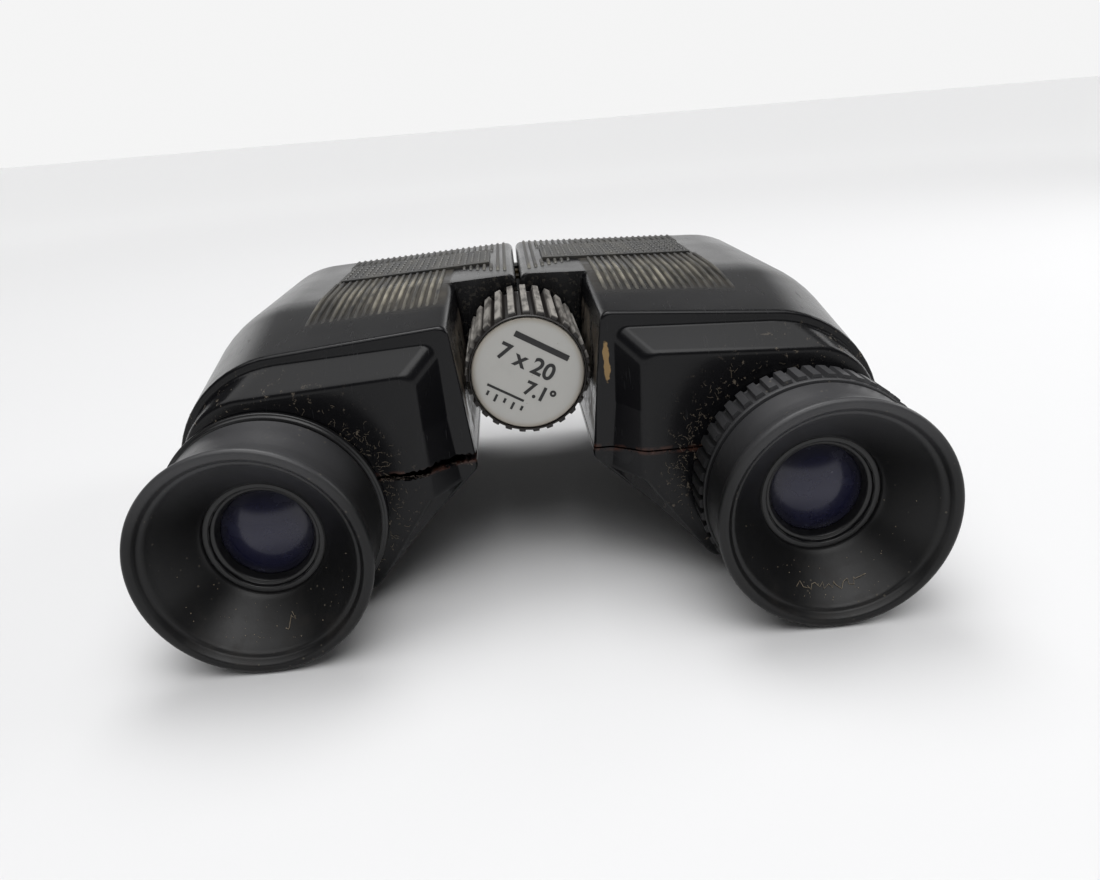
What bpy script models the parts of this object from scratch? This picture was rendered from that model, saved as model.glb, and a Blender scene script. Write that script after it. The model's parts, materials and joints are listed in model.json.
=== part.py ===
"""Compact 7x20 centre-focus binoculars with reverse-Porro prisms.

Frame: +Y runs from the eyepieces to the objectives, +X to the right half, +Z up.
The origin is under the middle of the bounding box, on the surface the body stands on.
Sizes are written in millimetres and turned into metres where a mesh is made.
Each half is a die-cast chassis under two plastic covers. The halves fold about the
hinge tube, and the knob on the same axis moves both objective cells.
"""
import math

import bmesh
import bpy
from mathutils import Vector

MM = 0.001

# ---- driving dimensions, mm ------------------------------------------------
# overall
BODY_LENGTH = 66.5            # rear edge of the covers to the front wall
EYE_X = 35.75                 # eyepiece axis from the middle plane
RING_RADIUS = 15.2            # eyepiece rings, which also set the height of the eyepiece axis
EYECUP_RADIUS = 15.0
HINGE_RISE = 15.0             # hinge axis above the eyepiece axis
EYECUP_OVERHANG = 17.5        # left eyecup rim to the rear edge of the covers
DIOPTER_STANDOFF = 2.4        # the right eyepiece at rest stands this far further out

# clearances
GAP = 0.3                     # between faces that touch on the real piece
RUNNING = 0.15                # radial, between a shaft and its bore
SEAM_GAP = 0.3                # parting line between the upper and the lower cover

# covers
COVER_WALL = 1.6
SEAM_ABOVE_EYE = 4.5
SIDE_MARGIN = 14.65           # outer side of the body from the eyepiece axis
MIDDLE_GAP = 0.3              # inner face of the front part from the middle plane
PRISM_ROOM = 11.2            # least height the prisms need above the objective axis
TOP_CLEARANCE = 1.15          # objective barrel to the inside of the top
TOP_FALL = 2.2                # the top is this much lower at the outer side
SHOULDER_RADIUS = 15.0
BILGE_RADIUS = 12.0
BOTTOM_TAPER = 0.6
SLOPE_FOOT_X = 27.3           # the slanted inner underside runs from here ...
SLOPE_HEAD_X = 8.0            # ... up to here
SLOPE_HEAD_DROP = 11.8        # below the hinge axis
FOLD_FROM_REAR = 24.5         # the top is level in front of this line
REAR_TOP_DROP = 1.4
REAR_OUTER_DROP = 2.8
REAR_SIDE_INSET = 2.1
REAR_SHOULDER_RADIUS = 16.0

# raised rear face round the eyepiece
FACE_DEPTH = 3.3
FACE_BASE_INSET = 1.7
BASE_OUTER_INSET = 0.4
BASE_TOP_DROP = 0.9           # inner end of the foot's top side
BASE_TOP_OUTER_DROP = 2.7
BASE_BOTTOM_Z = 2.3
BASE_SLOPE_INSET = 2.4
BASE_HEAD_INSET = 0.7
BASE_INNER_INSET = 0.4
BASE_INNER_DROP = 4.0         # below the hinge axis
BASE_HEAD_DROP = 1.5          # below the head of the slanted underside
FACE_INNER_X = 15.0
FACE_TOP_DROP = 5.8
FACE_TOP_OUTER_DROP = 1.7
FACE_INNER_DROP = 5.0         # below the hinge axis
FACE_OUTER_INSET = 1.7
FACE_SHOULDER_RADIUS = 9.0
FACE_BOTTOM_Z = 2.8
FACE_BILGE_RADIUS = 9.0
FACE_SLOPE_FOOT_X = 23.6
FACE_SLOPE_HEAD_Z = 15.7

# pocket for the knob
POCKET_LENGTH = 25.8
POCKET_HALF_WIDTH = 9.2       # at the height of the hinge axis
POCKET_LEAN = 0.103           # the side walls lean out by this much per mm of height

# optics
OBJECTIVE_INWARD = 16.15      # objective axis from the eyepiece axis, towards the middle
OBJECTIVE_RISE = 11.2
OBJECTIVE_LENS_RADIUS = 9.45
OBJECTIVE_CELL_WALL = 0.6
OBJECTIVE_CELL_LENGTH = 10.0
OBJECTIVE_RECESS = 6.0        # front wall to the front of the cell at rest
BARREL_WALL = 0.9
BARREL_LENGTH = 28.5
PRISM_HALF_WIDTH = 6.0
PRISM_APEX_FLAT = 0.8
STRAP_THICKNESS = 0.5
STRAP_WIDTH = 5.0
PLATE_FROM_REAR = 16.5
PLATE_THICKNESS = 2.0
LIGHT_HOLE_RADIUS = 5.4

# eyepiece
OCULAR_RADIUS = 8.0
OCULAR_WALL = 1.0
OCULAR_LENGTH = 11.2
MOUNT_WALL = 0.8
LENS_DEPTH = 9.2              # eye lens below the rim of the eyecup
EYE_LENS_WINDOW = 6.2
EYECUP_LIP = 1.3
EYECUP_WAIST = 13.9
EYECUP_BASE_RADIUS = 14.6
EYECUP_CONE_DEPTH = 7.4
COLLAR_THICKNESS = 1.1
DIOPTER_RING_LENGTH = 6.4
DIOPTER_GAP = 1.0             # the ring can go in by almost this much

# hinge and focusing
HINGE_TUBE_RADIUS = 4.0
HINGE_TUBE_WALL = 1.0
LUG_RADIUS = 6.1
FRONT_LUG_LENGTH = 2.8
CAP_LENGTH = 1.8
CHANNEL_RADIUS = 6.6
SPINDLE_RADIUS = 1.2
BUSH_LENGTH = 5.0
KNOB_RADIUS = 8.7
KNOB_REAR_INSET = 3.3         # knob's rear face from the rear edge of the covers
NAMEPLATE_RADIUS = 8.0
NAMEPLATE_THICKNESS = 0.7
COLLAR_GROOVE_RADIUS = 5.0
COLLAR_LENGTH = 9.0
COLLAR_GROOVE_WIDTH = 3.6
FOCUS_TRAVEL = 2.5
DRIVE_PIN_RADIUS = 0.7

# fasteners
SCREW_HEAD_RADIUS = 1.8
SCREW_SHANK_RADIUS = 0.8
SCREW_LENGTH = 4.2
SCREW_HEAD_THICKNESS = 0.45
SCREW_HEAD_Z = 0.15
SCREW_INSET = 3.5             # front screws from the eyepiece axis, towards the middle
SCREW_TO_PLATE = 6.0
SCREW_TO_BARREL = 8.0

# facets round a circle
FINE = 32
MEDIUM = 20
COARSE = 16

# ---- values that follow ------------------------------------------------------
EYE_Z = RING_RADIUS
HINGE_Z = EYE_Z + HINGE_RISE
SEAM_Z = EYE_Z + SEAM_ABOVE_EYE
OBJECTIVE_X = EYE_X - OBJECTIVE_INWARD
OBJECTIVE_Z = EYE_Z + OBJECTIVE_RISE
SIDE_X = EYE_X + SIDE_MARGIN
LENGTH = BODY_LENGTH + EYECUP_OVERHANG + DIOPTER_STANDOFF
FRONT_Y = LENGTH / 2.0
REAR_Y = FRONT_Y - BODY_LENGTH
FACE_Y = REAR_Y - FACE_DEPTH
LEFT_RIM_Y = REAR_Y - EYECUP_OVERHANG
RIGHT_RIM_Y = LEFT_RIM_Y - DIOPTER_STANDOFF
FOLD_Y = REAR_Y + FOLD_FROM_REAR
POCKET_FRONT_Y = REAR_Y + POCKET_LENGTH
PLATE_REAR_Y = REAR_Y + PLATE_FROM_REAR
PLATE_FRONT_Y = PLATE_REAR_Y + PLATE_THICKNESS
CELL_RADIUS = OBJECTIVE_LENS_RADIUS + RUNNING + OBJECTIVE_CELL_WALL
BARREL_BORE = CELL_RADIUS + RUNNING
BARREL_RADIUS = BARREL_BORE + BARREL_WALL
TRIM_RADIUS = BARREL_RADIUS + GAP
TOP_RISE = max(BARREL_RADIUS, PRISM_ROOM) + COVER_WALL + TOP_CLEARANCE
TOP_Z = OBJECTIVE_Z + TOP_RISE
CELL_FRONT_Y = FRONT_Y - OBJECTIVE_RECESS
CELL_REAR_Y = CELL_FRONT_Y - OBJECTIVE_CELL_LENGTH
BARREL_FRONT_Y = CELL_FRONT_Y + FOCUS_TRAVEL
BARREL_REAR_Y = BARREL_FRONT_Y - BARREL_LENGTH
KNOB_REAR_Y = REAR_Y + KNOB_REAR_INSET
KNOB_FRONT_Y = POCKET_FRONT_Y - 2 * GAP
OCULAR_BORE = OCULAR_RADIUS + RUNNING
TUBE_BORE = HINGE_TUBE_RADIUS - HINGE_TUBE_WALL
HINGE_REAR_Y = POCKET_FRONT_Y + COVER_WALL + GAP
HINGE_FRONT_Y = FRONT_Y - CAP_LENGTH - 2 * GAP
CAP_REAR_Y = HINGE_FRONT_Y + 2 * GAP
COLLAR_MIDDLE_Y = HINGE_FRONT_Y - FRONT_LUG_LENGTH - 2 * GAP - FOCUS_TRAVEL - COLLAR_LENGTH / 2.0
REAR_LUG_END_Y = COLLAR_MIDDLE_Y - COLLAR_LENGTH / 2.0 - FOCUS_TRAVEL - 2 * GAP
REAR_LUG_PITCH = (REAR_LUG_END_Y - HINGE_REAR_Y) / 3.0


def prism_axes():
    """Return the objective, middle and eyepiece axes, a right angle apart about the middle."""
    start = Vector((OBJECTIVE_X, OBJECTIVE_Z))
    end = Vector((EYE_X, EYE_Z))
    diagonal = end - start
    first = Vector((diagonal.x - diagonal.y, diagonal.x + diagonal.y)) / 2.0
    return start, start + first, end


# ---- collections, materials and placing -----------------------------------------
for old in list(bpy.data.objects):
    bpy.data.objects.remove(old)

PARTS = bpy.data.collections.new("compact_binoculars")
CUTTERS = bpy.data.collections.new("cutters")
for collection in (PARTS, CUTTERS):
    bpy.context.scene.collection.children.link(collection)

FINISHES = {
    "black_plastic": ((0.012, 0.012, 0.013), 0.28, 0.0),
    "black_rubber": ((0.010, 0.010, 0.010), 0.80, 0.0),
    "black_anodised": ((0.015, 0.015, 0.016), 0.45, 0.6),
    "cast_alloy": ((0.35, 0.35, 0.36), 0.50, 0.9),
    "silver_plate": ((0.72, 0.72, 0.70), 0.35, 0.8),
    "steel": ((0.55, 0.55, 0.56), 0.30, 1.0),
    "brass": ((0.65, 0.50, 0.25), 0.35, 1.0),
    "knob_plastic": ((0.030, 0.024, 0.022), 0.50, 0.0),
    "lens_glass": ((0.35, 0.30, 0.55), 0.05, 0.0),
    "prism_glass": ((0.75, 0.80, 0.80), 0.05, 0.0),
}


def dress(part, finish):
    """Give the part a material of its own with the colour of its finish."""
    colour, roughness, metallic = FINISHES[finish]
    material = bpy.data.materials.new(part.name)
    material.use_nodes = True
    shader = material.node_tree.nodes["Principled BSDF"]
    shader.inputs["Base Color"].default_value = (*colour, 1.0)
    shader.inputs["Roughness"].default_value = roughness
    shader.inputs["Metallic"].default_value = metallic
    part.data.materials.clear()
    part.data.materials.append(material)


def pivot(name, x, y, z, parent=None):
    """Add an empty on a joint's axis, at a place in world millimetres."""
    empty = bpy.data.objects.new(name, None)
    PARTS.objects.link(empty)
    empty.location = Vector((x, y, z)) * MM
    if parent:
        empty.parent = parent
        empty.location -= world_place(parent)
    return empty


def world_place(item):
    """Return the world place of an empty whose chain of parents only translates."""
    place = item.location.copy()
    while item.parent:
        item = item.parent
        place += item.location
    return place


def keep(part, parent, finish):
    """Put a finished sub-part in the parts collection, under its body's pivot."""
    PARTS.objects.link(part)
    part.location -= world_place(parent)
    part.parent = parent
    dress(part, finish)
    return part


def as_cutter(item):
    """Put an object that only cuts or joins others in the cutters collection."""
    CUTTERS.objects.link(item)
    item.hide_render = True
    item.display_type = 'WIRE'
    return item


# ---- shapes -----------------------------------------------------------------------
def turned(name, profile, x, z, segments=COARSE):
    """Turn a profile of (radius, y) points about an axis along Y through (x, z).

    The profile runs along its outer side from front to rear. It is closed when it
    doesn't start and end on the axis.
    """
    mesh = bpy.data.meshes.new(name)
    count = len(profile)
    points = [(radius * MM, 0.0, y * MM) for radius, y in profile]
    edges = [(i, i + 1) for i in range(count - 1)]
    if profile[0][0] > 0.0:
        edges.append((count - 1, 0))
    mesh.from_pydata(points, edges, [])
    part = bpy.data.objects.new(name, mesh)
    part.location = Vector((x, 0.0, z)) * MM
    part.rotation_euler = (-math.pi / 2.0, 0.0, 0.0)
    screw = part.modifiers.new("turn", 'SCREW')
    screw.axis = 'Z'
    screw.steps = segments
    screw.render_steps = segments
    screw.use_merge_vertices = True
    screw.merge_threshold = 0.00001
    screw.use_smooth_shade = True
    return part


def ring(name, outer, inner, rear, front, x, z, segments=COARSE):
    """Make a plain ring or tube along Y."""
    profile = [(outer, front), (outer, rear), (inner, rear), (inner, front)]
    return turned(name, profile, x, z, segments)


def rod(name, radius, rear, front, x, z, segments=COARSE):
    """Make a plain round bar along Y."""
    return turned(name, [(0.0, front), (radius, front), (radius, rear), (0.0, rear)], x, z, segments)


def box(name, low, high):
    """Make a box between two corners, with its origin at its middle."""
    size = Vector(high) - Vector(low)
    mesh = bpy.data.meshes.new(name)
    shape = bmesh.new()
    bmesh.ops.create_cube(shape, size=1.0)
    bmesh.ops.scale(shape, vec=size * MM, verts=shape.verts)
    shape.to_mesh(mesh)
    shape.free()
    part = bpy.data.objects.new(name, mesh)
    part.location = (Vector(low) + Vector(high)) / 2.0 * MM
    return part


def side_box(name, side, low, high):
    """Make a box given for the right half, on either side."""
    (x1, y1, z1), (x2, y2, z2) = low, high
    ends = sorted((side * x1, side * x2))
    return box(name, (ends[0], y1, z1), (ends[1], y2, z2))


def upright(name, radius, low, high, x, y):
    """Make a round bar along Z."""
    mesh = bpy.data.meshes.new(name)
    shape = bmesh.new()
    bmesh.ops.create_cone(shape, cap_ends=True, segments=COARSE, radius1=radius * MM,
                          radius2=radius * MM, depth=(high - low) * MM)
    shape.to_mesh(mesh)
    shape.free()
    part = bpy.data.objects.new(name, mesh)
    part.location = Vector((x, y, (low + high) / 2.0)) * MM
    return part


def outline_plate(name, points, rear, front):
    """Extrude a closed outline of (x, z) points along Y between two places."""
    curve = bpy.data.curves.new(name, 'CURVE')
    curve.dimensions = '2D'
    curve.fill_mode = 'BOTH'
    curve.extrude = (front - rear) / 2.0 * MM
    spline = curve.splines.new('POLY')
    spline.points.add(len(points) - 1)
    for knot, (x, z) in zip(spline.points, points):
        knot.co = (x * MM, z * MM, 0.0, 1.0)
    spline.use_cyclic_u = True
    flat = bpy.data.objects.new(name + "_outline", curve)
    bpy.context.scene.collection.objects.link(flat)
    evaluated = flat.evaluated_get(bpy.context.evaluated_depsgraph_get())
    mesh = bpy.data.meshes.new_from_object(evaluated)
    mesh.name = name
    shape = bmesh.new()
    shape.from_mesh(mesh)
    bmesh.ops.remove_doubles(shape, verts=shape.verts, dist=0.000001)
    bmesh.ops.recalc_face_normals(shape, faces=shape.faces)
    shape.to_mesh(mesh)
    shape.free()
    bpy.data.objects.remove(flat)
    part = bpy.data.objects.new(name, mesh)
    part.location = (0.0, (front + rear) / 2.0 * MM, 0.0)
    part.rotation_euler = (math.pi / 2.0, 0.0, 0.0)
    return part


def loft(name, rings):
    """Skin a row of sections with the same number of points, and cap both ends."""
    mesh = bpy.data.meshes.new(name)
    shape = bmesh.new()
    rows = [[shape.verts.new(Vector(point) * MM) for point in section] for section in rings]
    count = len(rows[0])
    for row, following in zip(rows, rows[1:]):
        for i in range(count):
            j = (i + 1) % count
            shape.faces.new((row[i], row[j], following[j], following[i]))
    shape.faces.new(rows[0])
    shape.faces.new(rows[-1])
    bmesh.ops.recalc_face_normals(shape, faces=shape.faces)
    shape.to_mesh(mesh)
    shape.free()
    return bpy.data.objects.new(name, mesh)


def combine(part, other, operation, solver='EXACT'):
    """Add a Boolean modifier, with the other object kept as a cutter."""
    as_cutter(other)
    step = part.modifiers.new(other.name, 'BOOLEAN')
    step.operation = operation
    step.solver = solver
    step.object = other


def soften(part, width):
    """Round a part's edges a little with two facets."""
    bevel = part.modifiers.new("soft_edges", 'BEVEL')
    bevel.width = width * MM
    bevel.segments = 2
    bevel.limit_method = 'ANGLE'
    bevel.angle_limit = math.radians(40.0)


# ---- sections of a half -------------------------------------------------------------
ARC_POINTS = (3, 8, 6, 3, 3, 2)
STRAIGHT_SINE = 0.01         # corners flatter than this are taken as straight
STRAIGHT_STEP = 0.1          # spacing of the points of a straight corner


def moved_in(corners, distance):
    """Move each edge of a clockwise corner list in by a distance."""
    count = len(corners)
    lines = []
    for i in range(count):
        start = Vector(corners[i][:2])
        end = Vector(corners[(i + 1) % count][:2])
        along = (end - start).normalized()
        lines.append((start + Vector((along.y, -along.x)) * distance, along))
    result = []
    for i in range(count):
        (p, u), (q, v) = lines[i - 1], lines[i]
        cross = u.x * v.y - u.y * v.x
        if abs(cross) < 0.001:
            meet = q
        else:
            meet = p + u * (((q.x - p.x) * v.y - (q.y - p.y) * v.x) / cross)
        result.append((meet.x, meet.y, max(corners[i][2] - distance, 0.2)))
    return result


def rounded(corners):
    """Round each corner (x, z, radius) with its own number of arc points."""
    outline = []
    count = len(corners)
    for i in range(count):
        here = Vector(corners[i][:2])
        back = (Vector(corners[i - 1][:2]) - here).normalized()
        ahead = (Vector(corners[(i + 1) % count][:2]) - here).normalized()
        half = back.angle(ahead) / 2.0
        steps = ARC_POINTS[i] - 1
        if abs(back.x * ahead.y - back.y * ahead.x) < STRAIGHT_SINE:
            # The corner lies on the line through its neighbours, so its points stay on that line.
            for k in range(steps + 1):
                spot = here + ahead * ((k - steps / 2.0) * STRAIGHT_STEP)
                outline.append((spot.x, spot.y))
            continue
        radius = corners[i][2]
        centre = here + (back + ahead).normalized() * (radius / math.sin(half))
        reach = radius / math.tan(half)
        first = here + back * reach - centre
        last = here + ahead * reach - centre
        sweep = first.angle_signed(last)
        for k in range(steps + 1):
            turn = -sweep * k / steps
            cos, sin = math.cos(turn), math.sin(turn)
            outline.append((centre.x + first.x * cos - first.y * sin,
                            centre.y + first.x * sin + first.y * cos))
    return outline


def front_corners():
    """Section of the level front part, clockwise from the inner top edge."""
    return [
        (MIDDLE_GAP, TOP_Z, 1.5),
        (SIDE_X, TOP_Z - TOP_FALL, SHOULDER_RADIUS),
        (SIDE_X - BOTTOM_TAPER, 0.0, BILGE_RADIUS),
        (SLOPE_FOOT_X, 0.0, 4.0),
        (SLOPE_HEAD_X, HINGE_Z - SLOPE_HEAD_DROP, 1.5),
        (MIDDLE_GAP, HINGE_Z + 1.0, 0.5),
    ]


def rear_corners():
    """Section at the rear edge of the covers."""
    side = SIDE_X - REAR_SIDE_INSET
    return [
        (MIDDLE_GAP, TOP_Z - REAR_TOP_DROP, 1.5),
        (side, TOP_Z - TOP_FALL - REAR_OUTER_DROP, REAR_SHOULDER_RADIUS),
        (side, 0.0, BILGE_RADIUS),
        (SLOPE_FOOT_X, 0.0, 4.0),
        (SLOPE_HEAD_X, HINGE_Z - SLOPE_HEAD_DROP, 1.5),
        (MIDDLE_GAP, HINGE_Z + 1.0, 0.5),
    ]


def pocket_wall_x(z):
    """Side wall of the knob's pocket at a height."""
    return POCKET_HALF_WIDTH + (z - HINGE_Z) * POCKET_LEAN


def base_corners():
    """Foot of the raised rear face, inside the rear edge of the covers."""
    side = SIDE_X - REAR_SIDE_INSET - BASE_OUTER_INSET
    top = TOP_Z - REAR_TOP_DROP - FACE_BASE_INSET
    head = HINGE_Z - SLOPE_HEAD_DROP - BASE_HEAD_DROP
    return [
        (pocket_wall_x(top) + FACE_BASE_INSET, top - BASE_TOP_DROP, 1.8),
        (side, top - BASE_TOP_OUTER_DROP, REAR_SHOULDER_RADIUS - BASE_OUTER_INSET),
        (side, BASE_BOTTOM_Z, BILGE_RADIUS - FACE_BASE_INSET),
        (SLOPE_FOOT_X - BASE_SLOPE_INSET, BASE_BOTTOM_Z, 3.0),
        (pocket_wall_x(head) + FACE_BASE_INSET + BASE_HEAD_INSET, head, 1.0),
        (pocket_wall_x(HINGE_Z) + FACE_BASE_INSET + BASE_INNER_INSET, HINGE_Z - BASE_INNER_DROP, 0.4),
    ]


def face_corners():
    """The flat rear face itself."""
    side = SIDE_X - REAR_SIDE_INSET - FACE_OUTER_INSET
    top = TOP_Z - REAR_TOP_DROP - FACE_TOP_DROP
    return [
        (FACE_INNER_X, top, 1.8),
        (side, top - FACE_TOP_OUTER_DROP, FACE_SHOULDER_RADIUS),
        (side, FACE_BOTTOM_Z, FACE_BILGE_RADIUS),
        (FACE_SLOPE_FOOT_X, FACE_BOTTOM_Z, 3.0),
        (FACE_INNER_X, FACE_SLOPE_HEAD_Z, 1.0),
        (FACE_INNER_X, HINGE_Z - FACE_INNER_DROP, 0.4),
    ]


def section(corners, y, side):
    """Return a rounded section as points in space, on either side."""
    return [(side * x, y, z) for x, z in rounded(corners)]


def body_solid(name, side):
    """The outer form of one half, before the pocket is taken out."""
    return loft(name, [
        section(face_corners(), FACE_Y, side),
        section(base_corners(), REAR_Y, side),
        section(rear_corners(), REAR_Y, side),
        section(front_corners(), FOLD_Y, side),
        section(front_corners(), FRONT_Y, side),
    ])


def hollow_solid(name, side, inset):
    """The space inside the covers of one half, a distance in from their outside."""
    return loft(name, [
        section(moved_in(face_corners(), inset), FACE_Y + inset, side),
        section(moved_in(base_corners(), inset), REAR_Y + 0.6 * inset, side),
        section(moved_in(rear_corners(), inset), REAR_Y + inset, side),
        section(moved_in(front_corners(), inset), FOLD_Y, side),
        section(moved_in(front_corners(), inset), FRONT_Y - inset, side),
    ])


def pocket_solid(name, margin):
    """The pocket round the knob, with a margin on its walls."""
    low, high = -5.0, TOP_Z + 5.0
    bottom, top = pocket_wall_x(low) + margin, pocket_wall_x(high) + margin
    points = [(-bottom, low), (bottom, low), (top, high), (-top, high)]
    return outline_plate(name, points, RIGHT_RIM_Y, POCKET_FRONT_Y + margin)


# ---- covers -----------------------------------------------------------------------------
SCREW_YS = (PLATE_REAR_Y - SCREW_TO_PLATE, BARREL_REAR_Y + SCREW_TO_BARREL)


def screw_x(y):
    """Cover screws lie on the flat underside, inside the eyepiece axis."""
    return EYE_X - (0.0 if y < PLATE_REAR_Y else SCREW_INSET)


def cover(name, side, upper, parent):
    """One cover: a wall round the hollow, kept above or below the parting line."""
    part = body_solid(name, side)
    hollow = hollow_solid(name + "_hollow", side, COVER_WALL)
    combine(hollow, pocket_solid(name + "_pocket_wall", COVER_WALL), 'DIFFERENCE')
    combine(part, pocket_solid(name + "_pocket", 0.0), 'DIFFERENCE')
    combine(part, hollow, 'DIFFERENCE')
    holes = (
        rod(name + "_channel", CHANNEL_RADIUS, POCKET_FRONT_Y - 5.0, FRONT_Y + 5.0, 0.0, HINGE_Z, MEDIUM),
        rod(name + "_objective_hole", TRIM_RADIUS + GAP, FRONT_Y - 4.0, FRONT_Y + 4.0,
            side * OBJECTIVE_X, OBJECTIVE_Z, FINE),
        rod(name + "_eyepiece_hole", OCULAR_BORE + GAP, FACE_Y - 4.0, FACE_Y + 4.0,
            side * EYE_X, EYE_Z, MEDIUM),
    )
    for hole in holes:
        combine(part, hole, 'DIFFERENCE')
    if upper:
        keeper = side_box(name + "_keeper", side, (-5.0, FACE_Y - 9.0, SEAM_Z + SEAM_GAP / 2.0),
                          (SIDE_X + 9.0, FRONT_Y + 9.0, TOP_Z + 9.0))
    else:
        keeper = side_box(name + "_keeper", side, (-5.0, FACE_Y - 9.0, -9.0),
                          (SIDE_X + 9.0, FRONT_Y + 9.0, SEAM_Z - SEAM_GAP / 2.0))
        for i, y in enumerate(SCREW_YS):
            seat = SCREW_HEAD_Z + SCREW_HEAD_THICKNESS + 0.2
            x = side * screw_x(y)
            sink = upright(f"{name}_seat_{i}", SCREW_HEAD_RADIUS + GAP, -2.0, seat, x, y)
            way = upright(f"{name}_way_{i}", SCREW_SHANK_RADIUS + GAP, -2.0, 3.0, x, y)
            combine(part, sink, 'DIFFERENCE')
            combine(part, way, 'DIFFERENCE')
    combine(part, keeper, 'INTERSECT')
    return keep(part, parent, "black_plastic")


def cover_screws(prefix, side, parent):
    """Two screws that hold the lower cover to the chassis."""
    for label, y in zip(("rear", "front"), SCREW_YS):
        name = f"{prefix}_cover_screw_{label}"
        mesh = bpy.data.meshes.new(name)
        profile = [(0.0, SCREW_LENGTH), (SCREW_SHANK_RADIUS, SCREW_LENGTH),
                   (SCREW_SHANK_RADIUS, SCREW_HEAD_THICKNESS), (SCREW_HEAD_RADIUS, SCREW_HEAD_THICKNESS),
                   (SCREW_HEAD_RADIUS, 0.0), (0.0, 0.0)]
        mesh.from_pydata([(r * MM, 0.0, h * MM) for r, h in profile],
                         [(i, i + 1) for i in range(len(profile) - 1)], [])
        part = bpy.data.objects.new(name, mesh)
        part.location = Vector((side * screw_x(y), y, SCREW_HEAD_Z)) * MM
        screw = part.modifiers.new("turn", 'SCREW')
        screw.steps = COARSE
        screw.render_steps = COARSE
        screw.use_merge_vertices = True
        screw.merge_threshold = 0.00001
        screw.use_smooth_shade = True
        keep(part, parent, "steel")


# ---- chassis ------------------------------------------------------------------------------
def lug_spans(side):
    """Where along Y each half's hinge lugs lie: they take turns along the tube."""
    start, pitch = HINGE_REAR_Y, REAR_LUG_PITCH
    if side < 0:
        return [(start, start + pitch - GAP), (start + 2 * pitch + GAP, start + 3 * pitch)]
    front_lug = (HINGE_FRONT_Y - FRONT_LUG_LENGTH, HINGE_FRONT_Y)
    return [(start + pitch + GAP, start + 2 * pitch - GAP), front_lug]


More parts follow.
